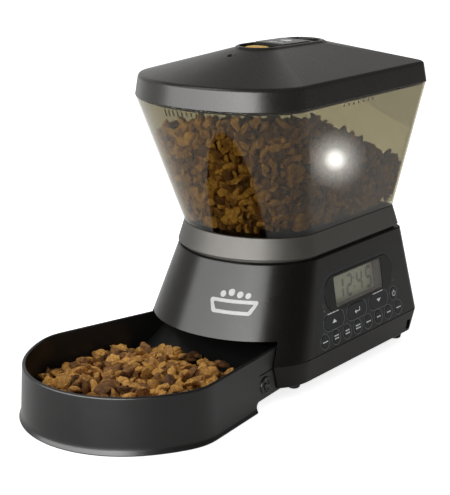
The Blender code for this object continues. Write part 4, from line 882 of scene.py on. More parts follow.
def make_screw_posts():
    """Posts inside the housing that the case screws pull on, with their webs."""
    for row, side in CORNERS:
        low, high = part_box(f"case_screw_{row}_{side}")
        x, y = plan_middle(low, high)
        start = TRAY_BOTTOM.z + WALL + GAP
        profile = ((0.0036, start), (0.0040, start + 0.0004), (0.0040, 0.0436), (0.0036, 0.0440))
        post = turned("post", profile, 28, centre=(x, y))
        reach = blend_station(BODY_TOP, BODY_BOTTOM, 0.0480)
        wall_x = reach.half_width - SIDE_TAPER * max(y - reach.centre, 0.0) - WALL
        ends = sorted((x, math.copysign(wall_x - GAP, x)))
        join(post, box("web", (ends[0], y - 0.001, TRAY_TOP.z + 0.003), (ends[1], y + 0.001, 0.0470)))
        cut(post, prism("bore", circle(SCREW_HOLE, 20, (x, y)), "z", start - 0.001, start + 0.013))
        post.name = f"screw_post_{row}_{side}"
        dress(post, "body_plastic", "base")


def make_base_tray():
    """Lower housing with a rolled bottom edge, a notch for the bowl and the battery opening."""
    rings = [plan_ring(TRAY_BOTTOM, 0.0060), plan_ring(TRAY_BOTTOM),
             plan_ring(TRAY_TOP), plan_ring(TRAY_TOP, 0.0040)]
    tray = skin("tray_shell", soften(rings, (0, 0.0018, 0.0006, 0)))
    floor_z = TRAY_BOTTOM.z + WALL
    above = TRAY_TOP._replace(z=TRAY_TOP.z + 0.001)
    cavity = skin("cavity", [plan_ring(TRAY_BOTTOM, WALL, z=floor_z), plan_ring(above, WALL)])
    cut(cavity, bowl_space(WALL))
    cut(tray, cavity, bowl_space())
    low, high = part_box("battery_door")
    cut(tray, box("battery_opening", (low.x - GAP, low.y - GAP, 0.0), (high.x + GAP, high.y + GAP, 0.02)))
    for row, side in CORNERS:
        low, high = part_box(f"case_screw_{row}_{side}")
        cut(tray, prism("hole", circle(SCREW_HOLE, 20, plan_middle(low, high)), "z", 0.0, 0.02))
    low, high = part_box("supply_inlet")
    notch = rounded_rectangle(((low.y + high.y) / 2, (low.z + high.z) / 2), (0.0064, 0.0090), 0.0012, 5)
    cut(tray, prism("lead_opening", notch, "x", 0.0700, 0.0900))
    dress(tray, "body_plastic", "base", "base_tray", sharp=35, edge=0.0003)


def make_feet():
    """Rubber feet: stepped, with a rounded tip and a small dimple under each."""
    for row, side in CORNERS:
        name = f"foot_{row}_{side}"
        low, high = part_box(name)
        wide = (high.x - low.x) / 2
        profile = [(0.0022, 0.0004), (0.0026, 0.0)]
        profile += [(wide - 0.0030 + 0.0022 * math.sin(t), 0.0022 * (1 - math.cos(t))) for t in
                    np.linspace(0.2, math.pi / 2, 6)]
        profile += [(wide - 0.0006, 0.0040), (wide, 0.0046), (wide, high.z)]
        foot = turned(name + "_pad", profile, 40, centre=plan_middle(low, high))
        dress(foot, "foot_rubber", "base", name)


def make_battery_door():
    """Door in the tray's floor with a grip of ribs at its catch."""
    low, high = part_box("battery_door")
    outline = rounded_rectangle(plan_middle(low, high), (high.x - low.x, high.y - low.y), 0.0012, 4)
    door = prism("battery_cover", outline, "z", low.z, high.z)
    cut(door, box("catch", (-0.010, low.y - 0.005, 0.0), (0.010, low.y + 0.0052, low.z + WALL / 2)))
    for index in range(7):
        y = low.y + 0.0100 + 0.0026 * index
        groove = rounded_rectangle((0, y), (0.030 - 0.003 * index, 0.0009), 0.0004, 3)
        cut(door, prism("groove", groove, "z", low.z - 0.001, low.z + 0.0004))
    dress(door, "body_plastic", "battery_door", "battery_door", sharp=35, edge=0.0003)


def make_front_mark():
    """Plain pictogram of a bowl with food on the curved front."""
    sketch = Sketch(0.00012)
    middle, base_z, top_z, width = 0.0370, 0.0720, 0.0838, 0.0036
    outer = rounded_polygon([(middle - 0.0175, base_z, 0.0030), (middle + 0.0175, base_z, 0.0030),
                             (middle + 0.0225, top_z, 0.0020), (middle - 0.0225, top_z, 0.0020)], 8)
    inner = rounded_polygon([(middle - 0.0175 + width * 0.85, base_z + width * 0.8, 0.0012),
                             (middle + 0.0175 - width * 0.85, base_z + width * 0.8, 0.0012),
                             (middle + 0.0225 - width * 1.2, top_z - width * 0.8, 0.0006),
                             (middle - 0.0225 + width * 1.2, top_z - width * 0.8, 0.0006)], 8)
    sketch.band(dense(outer, 6), dense(inner, 6))
    for along, z, radius in ((-0.0110, 0.0876, 0.0026), (-0.0036, 0.0894, 0.0029), (0.0042, 0.0880, 0.0027),
                             (0.0114, 0.0874, 0.0024)):
        sketch.plate(circle(radius, 24, (middle + along, z)))
    piece = sketch.piece("front_mark", lambda a, b, c: on_front(a, b, BODY_TOP, BODY_BOTTOM, c + 0.00008))
    dress(piece, "body_plastic", "base", finish="ink_silver", sharp=60)


def dense(outline, copies=4):
    """Outline with extra points along each side, so that it can follow a curved surface."""
    points = []
    for index, here in enumerate(outline):
        after = outline[(index + 1) % len(outline)]
        for step in range(copies):
            share = step / copies
            points.append((here[0] + (after[0] - here[0]) * share, here[1] + (after[1] - here[1]) * share))
    return points


# ---------------------------------------------------------------- bowl
def bowl_ring(z, offset, rear=BOWL_REAR_Y):
    """Ring of the bowl: half ellipse in front and sides that converge to a straight rear."""
    half = BOWL_HALF_WIDTH + offset
    front = BOWL_FRONT_Y - offset
    rear_half = half - BOWL_TAPER * (rear - BOWL_CENTRE_Y)
    nose = nose_curve(half, BOWL_CENTRE_Y - front, BOWL_CENTRE_Y, BOWL_TAPER, BOWL_EASE)
    return flat([(rear_half, rear), (-rear_half, rear)] + nose, z)


def make_bowl():
    """Dish with a rounded rim, a flared foot and a ramp that brings the food to its floor."""
    half_wall = BOWL_WALL / 2
    outer = [bowl_ring(0.0, BOWL_FLARE - 0.0014)]
    outer += [bowl_ring(z, offset) for z, offset in (
        (0.0004, BOWL_FLARE - 0.0004), (0.0012, BOWL_FLARE), (0.0022, BOWL_FLARE - 0.0003),
        (0.0034, BOWL_FLARE - 0.0011), (0.0050, BOWL_FLARE - 0.0016), (0.0075, bowl_draft(0.0075)))]
    for t in np.linspace(0, math.pi / 2, 7):
        outer.append(bowl_ring(BOWL_RIM_Z - half_wall * (1 - math.sin(t)), -half_wall * (1 - math.cos(t))))
    bowl = skin("bowl_dish", outer)
    behind = BOWL_REAR_Y + 0.0140
    floor_edge = [bowl_ring(BOWL_FLOOR_Z + rise, -BOWL_WALL - inset, behind) for rise, inset in (
        (0.0, 0.0060), (0.0004, 0.0034), (0.0018, 0.0016), (0.0050, 0.0006))]
    rim = []
    for t in np.linspace(0, math.pi / 2, 7):
        offset = -BOWL_WALL + half_wall * (1 - math.cos(t))
        rim.append(bowl_ring(BOWL_RIM_Z - half_wall * (1 - math.sin(t)), offset, behind))
    rim.append(bowl_ring(BOWL_RIM_Z + 0.001, -half_wall, behind))
    inside = skin("inside", floor_edge + rim)

    def ramp_z(y):
        """Height of the ramp's top side."""
        return BOWL_FLOOR_Z + RAMP_SLOPE * (y - RAMP_FOOT_Y)

    ramp_top_z, past = ramp_z(RAMP_TOP_Y), behind + 0.01
    foot = [(RAMP_FOOT_Y - 0.0040, BOWL_FLOOR_Z - 0.0001), (RAMP_FOOT_Y - 0.0015, BOWL_FLOOR_Z + 0.0004),
            (RAMP_FOOT_Y + 0.0015, ramp_z(RAMP_FOOT_Y + 0.0015) + 0.0001)]
    wedge = foot + [(RAMP_TOP_Y, ramp_top_z), (past, ramp_top_z), (past, 0.0), (RAMP_FOOT_Y - 0.0040, 0.0)]
    cut(inside, prism("ramp", wedge, "x", -0.12, 0.12))
    cut(bowl, inside)
    under_z = BOWL_FLOOR_Z - BOWL_FLOOR_THICKNESS
    under = [bowl_ring(-0.001, -0.0040, RAMP_FOOT_Y), bowl_ring(under_z, -0.0044, RAMP_FOOT_Y)]
    cut(bowl, skin("under", under))
    half = BOWL_HALF_WIDTH - BOWL_TAPER * (BOWL_REAR_Y - BOWL_CENTRE_Y) - BOWL_WALL - 0.0006
    below_ramp = [(RAMP_FOOT_Y + 0.001, -0.001), (RAMP_FOOT_Y + 0.001, under_z),
                  (RAMP_FOOT_Y + 0.0035, under_z), (RAMP_TOP_Y, ramp_top_z - RAMP_DEPTH),
                  (RAMP_TOP_Y, -0.001)]
    cut(bowl, prism("below_ramp", below_ramp, "x", -half, half))
    step = [(BOWL_STEP_Y, -0.01, 0.0001), (0.03, -0.01, 0.0001), (0.03, BOWL_STEP_Z, 0.0001),
            (BOWL_STEP_Y, BOWL_STEP_Z, 0.0045)]
    cut(bowl, prism("step", rounded_polygon(step, 8), "x", -0.12, 0.12))
    for side in (1, -1):
        skin_x = [BOWL_HALF_WIDTH - BOWL_WALL + 0.0006 - BOWL_TAPER * (y - BOWL_CENTRE_Y)
                  for y in (TAB_SLIT_Y, behind)]
        plan = [(skin_x[0] * side, TAB_SLIT_Y), (0.1 * side, TAB_SLIT_Y), (0.1 * side, behind),
                (skin_x[1] * side, behind)]
        cut(bowl, prism("slit", plan, "z", TAB_SLIT_Z, TAB_SLIT_Z + TAB_SLIT_HEIGHT))
    dress(bowl, "bowl_plastic", "bowl", "bowl", sharp=35, edge=0.00035)
    for side, name in ((1, "right"), (-1, "left")):
        thumb_pad(side, name)


def thumb_pad(side, name):
    """Raised ring on a release tab with a keyhole-shaped boss in it."""
    lean = math.atan(BOWL_TAPER)
    wall_x = BOWL_HALF_WIDTH + bowl_draft(TAB_PAD_Z) - BOWL_TAPER * (TAB_PAD_Y - BOWL_CENTRE_Y)
    turn = Matrix.Rotation(lean * side, 4, "Z") @ Matrix.Scale(side, 4, (1, 0, 0))
    place = Matrix.Translation((wall_x * side, TAB_PAD_Y, TAB_PAD_Z)) @ turn
    pad = skin("pad", [flat(circle(radius, 48), height, "x") for radius, height in (
        (0.0080, -0.0006), (0.0080, 0.0003), (0.0077, 0.0008), (0.0071, 0.0010),
        (0.0058, 0.0010), (0.0054, 0.0007), (0.0051, 0.0001), (0.0050, -0.0006))], wrap=True)
    levels = ((0.0, -0.0006), (0.0, 0.0006), (0.0002, 0.0010), (0.0007, 0.0012))
    boss = skin("boss", [flat(keyhole(0.0025 - inset, 0.0013 - inset * 0.6), height, "x")
                         for inset, height in levels])
    for part, label in ((pad, "ring"), (boss, "boss")):
        part.data.transform(place)
        if side < 0:
            part.data.flip_normals()
        part.name = f"thumb_{label}_{name}"
        dress(part, "bowl_plastic", "bowl", sharp=45)


def keyhole(radius, half_stem):
    """Outline of a round head with a straight stem below it."""
    start = math.asin(half_stem / radius)
    head = arc((0.0, 0.0), radius, -math.pi / 2 + start, 1.5 * math.pi - start, 28)
    return head + [(-half_stem, -0.0036), (half_stem, -0.0036)]


# ---------------------------------------------------------------- control panel
def panel_piece(name, rings, slot, body, *nodes, holes=()):
    """Piece modelled in panel axes, cut by prisms through it and laid on the panel."""
    piece = skin(name, rings)
    for outline in holes:
        cut(piece, prism("hole", outline, "z", -0.01, 0.01))
    piece.data.transform(panel_matrix())
    return dress(piece, slot, body, *nodes, sharp=35)


def panel_print(sketch, name, slot, body, finish=None, depth=0.0):
    """Marks sketched in panel axes and laid on the panel, or at a depth in it."""
    on_panel = panel_matrix()
    piece = sketch.piece(name, lambda a, b, c: on_panel @ Vector((a, b, c + depth)))
    return dress(piece, slot, body, finish=finish)


def plate_rings(grow, low, high, edge=0.0003):
    """Rings of a plate with a rounded front edge. grow(inset) gives its outline."""
    return [flat(grow(0.0), low), flat(grow(0.0), high - edge), flat(grow(edge * 0.3), high - edge * 0.35),
            flat(grow(edge), high)]


def key_table():
    """Name, place, size and corner radius of each key."""
    keys = []
    for index, name in enumerate(("up", "enter", "down")):
        at = (LARGE_KEY_START + LARGE_KEY_PITCH * index, LARGE_KEY_B)
        keys.append((f"key_{name}", at, LARGE_KEY_SIZE, LARGE_KEY_RADIUS))
    size = (2 * POWER_KEY_RADIUS, 2 * POWER_KEY_RADIUS)
    keys.append(("key_power", POWER_KEY, size, POWER_KEY_RADIUS - 1e-5))
    for index in range(8):
        at = (SMALL_KEY_START + SMALL_KEY_PITCH * index, SMALL_KEY_B)
        size = (2 * SMALL_KEY_RADIUS, 2 * SMALL_KEY_RADIUS)
        keys.append((f"key_small_{index + 1}", at, size, SMALL_KEY_RADIUS - 1e-5))
    return keys


def bezel_outline(grow):
    """Outline of the display's bezel, with a margin."""
    middle = ((BEZEL_LEFT + BEZEL_RIGHT) / 2, (BEZEL_BOTTOM + BEZEL_TOP) / 2)
    size = (BEZEL_RIGHT - BEZEL_LEFT, BEZEL_TOP - BEZEL_BOTTOM)
    return grown_rectangle(middle, size, BEZEL_RADIUS, grow, 20)


def make_fascia():
    """Panel plate with a hole for each key, the bezel and the lenses, and its printed lines."""
    holes = [bezel_outline(GAP)]
    holes += [grown_rectangle(at, size, radius, GAP) for _, at, size, radius in key_table()]
    holes += [circle(INDICATOR_RADIUS + GAP, 24, at) for at in INDICATORS]
    rings = plate_rings(lambda inset: rounded_polygon(grown(FASCIA_CORNERS, -inset), 20),
                        -PANEL_THICKNESS, 0.0, 0.0004)
    panel_piece("fascia", rings, "fascia_plastic", "base", "control_fascia", holes=holes)

    lines = Sketch()
    for _, at, size, radius in key_table():
        lines.band(grown_rectangle(at, size, radius, 0.00100), grown_rectangle(at, size, radius, 0.00042))
    panel_print(lines, "key_outlines", "fascia_plastic", "base", "ink_grey")

    marks, titles = Sketch(), Sketch(0.0003)
    for index in (0, 2):
        at = LARGE_KEY_START + LARGE_KEY_PITCH * index
        dashes(titles, (at, LARGE_KEY_B + 0.0074), 0.0175, 9, 0.0010)
    for index in (0, 1, 2, 3, 5):
        at = (SMALL_KEY_START + SMALL_KEY_PITCH * index, SMALL_KEY_B + SMALL_KEY_RADIUS + 0.0016)
        marks.plate(rounded_rectangle(at, (0.0012, 0.0007), 0.0002, 2))
    for a, b in INDICATORS:
        dashes(marks, (a - 0.0004, b + 0.0032), 0.0036, 2, 0.0007)
        dashes(marks, (a - 0.0004, b + 0.0052), 0.0026, 2, 0.0007)
    panel_print(marks, "panel_marks", "fascia_plastic", "base", "ink_grey")
    panel_print(titles, "key_titles", "fascia_plastic", "base", "ink_light")


def dashes(sketch, centre, width, count, height):
    """Row of short bars that stands for a legend."""
    pitch = width / count
    for index in range(count):
        share = 0.62 + 0.20 * math.sin(index * 2.4 + width * 900)
        at = (centre[0] - width / 2 + pitch * (index + 0.5), centre[1])
        sketch.plate(rounded_rectangle(at, (pitch * share, height), height * 0.2, 2))


def make_display():
    """Glossy bezel, window, well and liquid crystal display with a time on it."""
    opening_size = (WINDOW_SIZE[0] + 0.0001, WINDOW_SIZE[1] + 0.0001)
    opening = rounded_rectangle(WINDOW_CENTRE, opening_size, WINDOW_RADIUS, 8)
    rings = plate_rings(lambda inset: bezel_outline(-inset), -PANEL_THICKNESS, 0.0002)
    panel_piece("bezel", rings, "bezel_gloss", "base", "display_bezel", holes=[opening])

    def pane_outline(inset):
        """Outline of the window, with a margin inside it."""
        return grown_rectangle(WINDOW_CENTRE, WINDOW_SIZE, WINDOW_RADIUS, -inset, 8)

    pane = plate_rings(lambda inset: pane_outline(inset + 0.0005), -0.0014, -0.0001, 0.0001)
    panel_piece("window", pane, "window_clear", "base", "display_window")
    liner = Sketch(PANEL_THICKNESS - 0.0004)
    liner.band(pane_outline(0.0), pane_outline(0.0004))
    panel_print(liner, "window_liner", "well_plastic", "base", depth=-PANEL_THICKNESS)
    digits = Sketch(0.00008)
    cell, height, bottom, lean = (0.0106, 0.0206), 0.0206, 0.0062, 0.09
    for start, lit in ((-0.0197, "bc"), (-0.0050, "abged"), (0.0115, "fgbc"), (0.0268, "afgcd")):
        for segment in lit:
            digits.plate([(start + a + lean * b, bottom + b) for a, b in segment_outline(segment, cell)])
    for b in (height * 0.33, height * 0.72):
        digits.plate(rounded_rectangle((0.0082 + lean * b, bottom + b), (0.0019, 0.0019), 0.0004, 3))
    digits.band(rounded_rectangle((-0.0300, 0.0250), (0.0060, 0.0032), 0.0003, 3),
                rounded_rectangle((-0.0300, 0.0250), (0.0052, 0.0024), 0.0002, 3))
    digits.plate(rounded_rectangle((-0.0312, 0.0250), (0.0022, 0.0016), 0.0001, 2))
    for index in range(4):
        at = (-0.0315 + 0.0026 * index, 0.0100)
        digits.plate(rounded_rectangle(at, (0.0016, 0.0018 + 0.0012 * index), 0.0002, 2))
    panel_print(digits, "lcd_digits", "lcd_face", "base", "lcd_segment", depth=-DISPLAY_DEPTH - GAP)


def segment_outline(name, cell, thick=0.0030, gap=0.00025):
    """Outline of one bar of a seven-segment digit, lettered a to g clockwise from the top."""
    wide, tall = cell
    half, middle = thick / 2, tall / 2
    if name in "agd":
        b = {"a": tall - half, "g": middle, "d": half}[name]
        return [(half + gap, b), (thick + gap, b - half), (wide - thick - gap, b - half),
                (wide - half - gap, b), (wide - thick - gap, b + half), (thick + gap, b + half)]
    a = wide - half if name in "bc" else half
    low, high = (middle, tall) if name in "bf" else (0.0, middle)
    low_end = low + (gap if low else half + gap)
    high_end = high - (gap if high == middle else half + gap)
    return [(a, low_end), (a + half, low_end + half), (a + half, high_end - half), (a, high_end),
            (a - half, high_end - half), (a - half, low_end + half)]


def make_keys():
    """Key caps with soft edges, each with its own legend that moves with it."""
    on_panel = panel_matrix()
    for name, at, size, radius in key_table():
        rings = plate_rings(lambda inset: grown_rectangle(at, size, radius, -inset),
                            -0.0030, KEY_PROUD, 0.0004)
        cap = skin(name + "_cap", rings)
        join(cap, turned("stem", ((0.0022, -0.0090), (0.0022, -0.0010)), 20, centre=at))
        cap.data.transform(on_panel)
        dress(cap, "key_plastic", name, name, sharp=35)
        panel_print(key_legend(name, *at), name + "_legend", "key_plastic", name, "ink_light")


def key_legend(name, x, y):
    """Sketch of what is printed on a key: an arrow, a power sign or bars that stand for words."""
    legend, top = Sketch(), KEY_PROUD
    if name in ("key_up", "key_down"):
        tip = 0.0016 if name == "key_up" else -0.0016
        legend.plate([(x - 0.0035, y - tip), (x + 0.0035, y - tip), (x, y + tip)], top)
    elif name == "key_enter":
        right, low = x + 0.0042, y - 0.0008
        legend.stroke([(right, y + 0.0024), (right, low)], 0.0008, top)
        legend.stroke([(right + 0.0004, low), (x - 0.0014, low)], 0.0008, top)
        legend.plate([(x - 0.0040, low), (x - 0.0014, y - 0.0027), (x - 0.0014, y + 0.0011)], top)
    elif name == "key_power":
        legend.stroke(arc((x, y), 0.0024, math.radians(130), math.radians(410), 28), 0.0006, top)
        legend.stroke([(x, y + 0.0006), (x, y + 0.0032)], 0.0006, top)
    else:
        index = int(name[-1])
        rises = (0.0013, -0.0013) if index in (2, 3, 4) else (0.0,)
        for line, rise in enumerate(rises):
            dashes_on_key(legend, (x, y + rise), 0.0070 + 0.0008 * math.sin(index * 1.7 + line), top)
    return legend


def dashes_on_key(sketch, centre, width, low):
    """Short bars that stand for a word on a small key."""
    count = 4
    pitch = width / count
    for index in range(count):
        share = 0.76 + 0.12 * math.sin(index * 2.1 + centre[0] * 700)
        at = (centre[0] - width / 2 + pitch * (index + 0.5), centre[1])
        sketch.plate(rounded_rectangle(at, (pitch * share, 0.0011), 0.0002, 2), low)


def make_lenses():
    """Domed lenses of the two indicator lamps."""
    on_panel = panel_matrix()
    for name, at in zip(("front", "rear"), INDICATORS):
        profile = [(INDICATOR_RADIUS, -0.0060), (INDICATOR_RADIUS, 0.0001),
                   (0.0010, 0.00022), (0.0005, 0.0003)]
        lens = turned(f"lens_{name}", profile, 24, centre=at)
        lens.data.transform(on_panel)
        dress(lens, "indicator", "base", f"indicator_{name}")


# ---------------------------------------------------------------- food
def ball(divisions):
    """Points and triangles of a unit ball."""
    bm = bmesh.new()
    bmesh.ops.create_icosphere(bm, subdivisions=divisions, radius=1.0)
    points = np.array([vertex.co[:] for vertex in bm.verts])
    faces = np.array([[vertex.index for vertex in face.verts] for face in bm.faces])
    bm.free()
    return points, faces


FLAKE_FACETS, FLAKE_KINDS = 11, 16
GOLDEN_SHARE = 0.66         # share of the pieces that are golden. The others are dark brown
GOLDEN, BROWN = (0.74, 0.13), (0.34, 0.12)      # middling tone and its scatter


def flake(draw, points):
    """One broken, flattened lump about 2 long, from flat facets with rough, lobed sides."""
    facets = draw.normal(size=(FLAKE_FACETS, 3))
    facets /= np.linalg.norm(facets, axis=1)[:, None]
    depths = draw.uniform(0.62, 0.98, FLAKE_FACETS)
    facing = points @ facets.T
    reach = np.where(facing > 0.05, depths / np.maximum(facing, 0.05), 9.0).min(1)
    shaped = points * np.minimum(reach, 1.25)[:, None]
    turn = np.arctan2(points[:, 1], points[:, 0])
    lobes = 1 + draw.uniform(0.04, 0.16) * np.cos(2 * turn + draw.uniform(0, 6.28))
    lobes += draw.uniform(0.03, 0.12) * np.cos(3 * turn + draw.uniform(0, 6.28))
    shaped[:, :2] *= lobes[:, None]
    shaped *= (1.0, draw.uniform(0.54, 0.80), draw.uniform(0.30, 0.44))
    shaped[:, 2] += draw.uniform(-0.14, 0.14) * (shaped[:, 0] ** 2 - 0.3)
    shaped[:, 1] += draw.uniform(-0.16, 0.16) * (shaped[:, 0] ** 2 - 0.3)
    offset = Vector(draw.uniform(-50, 50, 3))
    rough = [0.10 * noise.noise(Vector(p) * 2.1 + offset) + 0.07 * noise.noise(Vector(p) * 5.5 - offset)
             for p in points]
    return shaped + points * np.array(rough)[:, None]


def spread_out(centres, spacing, settle, rounds):
    """Push points apart until they stand about a spacing from each other inside a space."""
    for _ in range(rounds):
        apart = centres[:, None, :] - centres[None, :, :]
        distance = np.sqrt((apart ** 2).sum(2)) + 1e-9
        push = np.clip(spacing - distance, 0, None) * 0.28
        np.fill_diagonal(push, 0)
        centres = settle(centres + (apart / distance[..., None] * push[..., None]).sum(1))
    return centres


def food_piece(name, centres, sizes, tilt, draw, keep_inside, fine, body):
    """One mesh of many flakes. fine says which of them are seen closely, tilt how far they lean."""
    kinds = {}
    for divisions in (1, 2):
        points, faces = ball(divisions + 1)
        kinds[divisions == 2] = ([flake(draw, points) for _ in range(FLAKE_KINDS)], faces)
    all_points, all_faces, tones, start = [], [], [], 0
    for centre, size, close in zip(centres, sizes, fine):
        shapes, faces = kinds[bool(close)]
        lean = Euler((draw.normal(0, tilt), draw.normal(0, tilt), draw.uniform(0, 2 * math.pi)), "ZXY")
        turn = np.array(lean.to_matrix())
        points = keep_inside(shapes[draw.integers(len(shapes))] * size @ turn.T + centre)
        all_points.append(points)
        all_faces.append(faces + start)
        tone = draw.normal(*(GOLDEN if draw.random() < GOLDEN_SHARE else BROWN))
        tones.append(np.full(len(points), np.clip(tone, 0.0, 1.0)))
        start += len(points)
    mesh = bpy.data.meshes.new(name)
    mesh.from_pydata(np.concatenate(all_points).tolist(), [], np.concatenate(all_faces).tolist())
    tone_data = mesh.attributes.new("tone", "FLOAT", "POINT").data
    tone_data.foreach_set("value", np.concatenate(tones).astype(np.float32))
    piece = bpy.data.objects.new(name, mesh)
    bpy.context.collection.objects.link(piece)
    mesh.materials.append(FINISH["food"])
    mesh.shade_smooth()
    mesh.set_sharp_from_angle(angle=math.radians(42))
    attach(piece, body)
    return piece


def sizes_for(draw, count, middling):
    """Half lengths: mostly whole pieces, some broken ones and crumbs."""
    whole = draw.uniform(0.78, 1.16, count)
    broken = draw.uniform(0.38, 0.70, count)
    return middling * np.where(draw.random(count) < 0.80, whole, broken)


FOOD_SIZE = 0.0072          # half the length of a middling piece
FOOD_SPACING = 0.0086
FOOD_CEILING = HOPPER_TOP.z - SEAL_HEIGHT - 0.0004
HEAP_FRONT = 0.2400         # height of the food at the hopper's front
HEAP_FALL = (-0.66, 0.75)   # plan direction in which the heap falls away
HEAP_RISE, HEAP_EDGE, HEAP_SLOPE = 0.18, 0.02, 0.50     # rise to the front, where the fall starts, its slope
HEAP_SUNK = 0.0070
HOPPER_TRIES, HOPPER_PIECES = 40000, 2300       # random places tried, and the most that are used
BOWL_TRIES, BOWL_PIECES = 20000, 520


def heap_height(x, y):
    """Top of the food in the hopper: nearly level in front, then falling to the rear."""
    along = HEAP_FALL[0] * x + HEAP_FALL[1] * y
    level = HEAP_FRONT - HEAP_RISE * np.minimum(along + HEAP_EDGE, 0.0)
    return level - HEAP_SUNK - HEAP_SLOPE * np.maximum(along + HEAP_EDGE, 0.0)


def hopper_limits(z, inset):
    """Half width, front depth, centre and rear of the hopper's inside at the heights z."""
    share = np.clip((HOPPER_TOP.z - z) / (HOPPER_TOP.z - HOPPER_BOTTOM.z), 0, 1)

    def at(name):
        top, bottom = getattr(HOPPER_TOP, name), getattr(HOPPER_BOTTOM, name)
        return top + (bottom - top) * share

    centre = at("centre")
    return at("half_width") - inset, centre - at("front") - inset, centre, at("rear") - inset


def in_hopper(points, inset, ceiling=None):
    """Points moved back inside the hopper, and how far each is from the nearest wall or the top."""
    x, y, z = points.T.copy()
    z = np.maximum(z, SHOULDER_Z + GAP + inset)
    z = np.minimum(z, heap_height(x, y) - inset * 0.5 if ceiling is None else ceiling)
    half, depth, centre, rear = hopper_limits(z, HOPPER_WALL + GAP + inset)
    corner = 0.006
    y = np.minimum(y, rear)
    side = half - SIDE_TAPER * np.maximum(y - centre, 0) - np.clip(y - rear + corner, 0, corner) * 0.6
    x = np.clip(x, -side, side)
    outside = np.hypot(x / half, np.minimum(y - centre, 0) / depth)
    shrink = np.where((y < centre) & (outside > 1), outside, 1.0)
    x, y = x / shrink, np.where(shrink > 1, centre + (y - centre) / shrink, y)
    front = (1 - np.hypot(x / half, np.minimum(y - centre, 0) / depth)) * depth + np.maximum(y - centre, 0)
    margin = np.stack([side - np.abs(x), rear - y, heap_height(x, y) - inset * 0.5 - z, front])
    return np.column_stack([x, y, z]), margin


def near_skin(points, inset, deepest):
    """Points moved inside the hopper and out to within a depth of its walls or the heap's top."""
    moved, margin = in_hopper(points, inset)
    x, y, z = moved.T.copy()
    nearest = margin.argmin(0)
    excess = np.maximum(margin.min(0) - deepest, 0)
    x += np.where(nearest == 0, excess * np.sign(x), 0)
    y += np.where(nearest == 1, excess, 0) - np.where(nearest == 3, excess, 0)
    z += np.where(nearest == 2, excess, 0)
    return np.column_stack([x, y, z])


def fill_hopper():
    """Food against the hopper's walls and on top of the heap, over a core whose dark brown is painted shade.
    """
    draw = np.random.default_rng(11)
    shell, inset, seen_depth = 0.0130, 0.0036, 0.0085
    low, high = np.array([-0.086, -0.055, 0.137]), np.array([0.086, 0.202, 0.245])
    tries = draw.uniform(low, high, (HOPPER_TRIES, 3))
    moved, margin = in_hopper(tries, inset)
    free = (np.abs(moved - tries).max(1) < 1e-9) & (margin.min(0) < shell)
    centres = tries[free][:HOPPER_PIECES]
    centres = spread_out(centres, FOOD_SPACING, lambda c: near_skin(c, inset, shell), 36)
    near = in_hopper(centres, inset)[1].min(0)
    sizes = sizes_for(draw, len(centres), FOOD_SIZE)

    def keep_inside(moved):
        return in_hopper(moved, 0.0002, FOOD_CEILING)[0]

    order = np.argsort(centres[:, 0])
    pieces = []
    for index, part in enumerate(np.array_split(order, 3)):
        pieces.append(food_piece(f"food_in_hopper_{index + 1}", centres[part], sizes[part], 1.3, draw,
                                 keep_inside, near[part] < seen_depth, "hopper"))
    # the core that closes the view between the outer pieces. Its dark brown is painted shade, standing for
    # the shade in the gaps deep in the heap
    heights = np.linspace(SHOULDER_Z + 0.004, 0.2360, 9)
    core = skin("food_core", [plan_ring(blend_station(HOPPER_TOP, HOPPER_BOTTOM, z), WALL + 0.0070)
                              for z in heights])
    for vertex in core.data.vertices:
        sunk = np.array([[vertex.co.x, vertex.co.y, vertex.co.z]])
        sunk[0, 2] = min(sunk[0, 2], float(heap_height(*sunk[0, :2])) - seen_depth)
        vertex.co = in_hopper(sunk, 0.0070)[0][0]
    core.data.materials.append(FINISH["food_core"])
    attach(core, "hopper")
    return pieces + [core]


def bowl_heap(x, y):
    """Top of the food in the bowl: a low mound that thins out up the ramp."""
    reach = (x / 0.078) ** 2 + ((y + 0.104) / 0.092) ** 2
    return 0.0225 + 0.0125 * np.clip(1 - reach, -0.8, 1)


def in_bowl(points, inset):
    """Points moved back inside the bowl, above its floor and ramp and under the mound."""
    x, y, z = points.T.copy()
    floor_z = BOWL_FLOOR_Z + RAMP_SLOPE * np.maximum(y - RAMP_FOOT_Y, 0) + inset
    half = BOWL_HALF_WIDTH - BOWL_WALL - GAP - inset
    depth = BOWL_CENTRE_Y - BOWL_FRONT_Y - BOWL_WALL - GAP - inset
    y = np.minimum(y, -0.016 - inset)
    side = half - BOWL_TAPER * np.maximum(y - BOWL_CENTRE_Y, 0)
    x = np.clip(x, -side, side)
    outside = np.hypot(x / half, np.minimum(y - BOWL_CENTRE_Y, 0) / depth)
    fix = np.where((y < BOWL_CENTRE_Y) & (outside > 1), outside, 1.0)
    x = x / fix
    y = np.where(fix > 1, BOWL_CENTRE_Y + (y - BOWL_CENTRE_Y) / fix, y)
    z = np.maximum(np.minimum(z, bowl_heap(x, y) - inset * 0.3), floor_z)
    return np.column_stack([x, y, z])


def fill_bowl():
    """Food heaped in the bowl."""
    draw = np.random.default_rng(23)
    inset, spacing = 0.0032, 0.0095
    tries = draw.uniform([-0.086, -0.196, 0.014], [0.086, -0.02, 0.036], (BOWL_TRIES, 3))
    centres = tries[np.abs(in_bowl(tries, inset) - tries).max(1) < 1e-9][:BOWL_PIECES]
    centres = spread_out(centres, spacing, lambda c: in_bowl(c, inset), 70)
    shallow = bowl_heap(centres[:, 0], centres[:, 1]) - centres[:, 2] < 0.0125
    sizes = sizes_for(draw, len(centres), FOOD_SIZE * 1.04)

    def keep_inside(points):
        x, y, z = in_bowl(points, 0.0003).T
        return np.column_stack([x, y, np.maximum(z, points[:, 2])])

    food_piece("food_in_bowl", centres, sizes, 0.62, draw, keep_inside, shallow, "bowl")


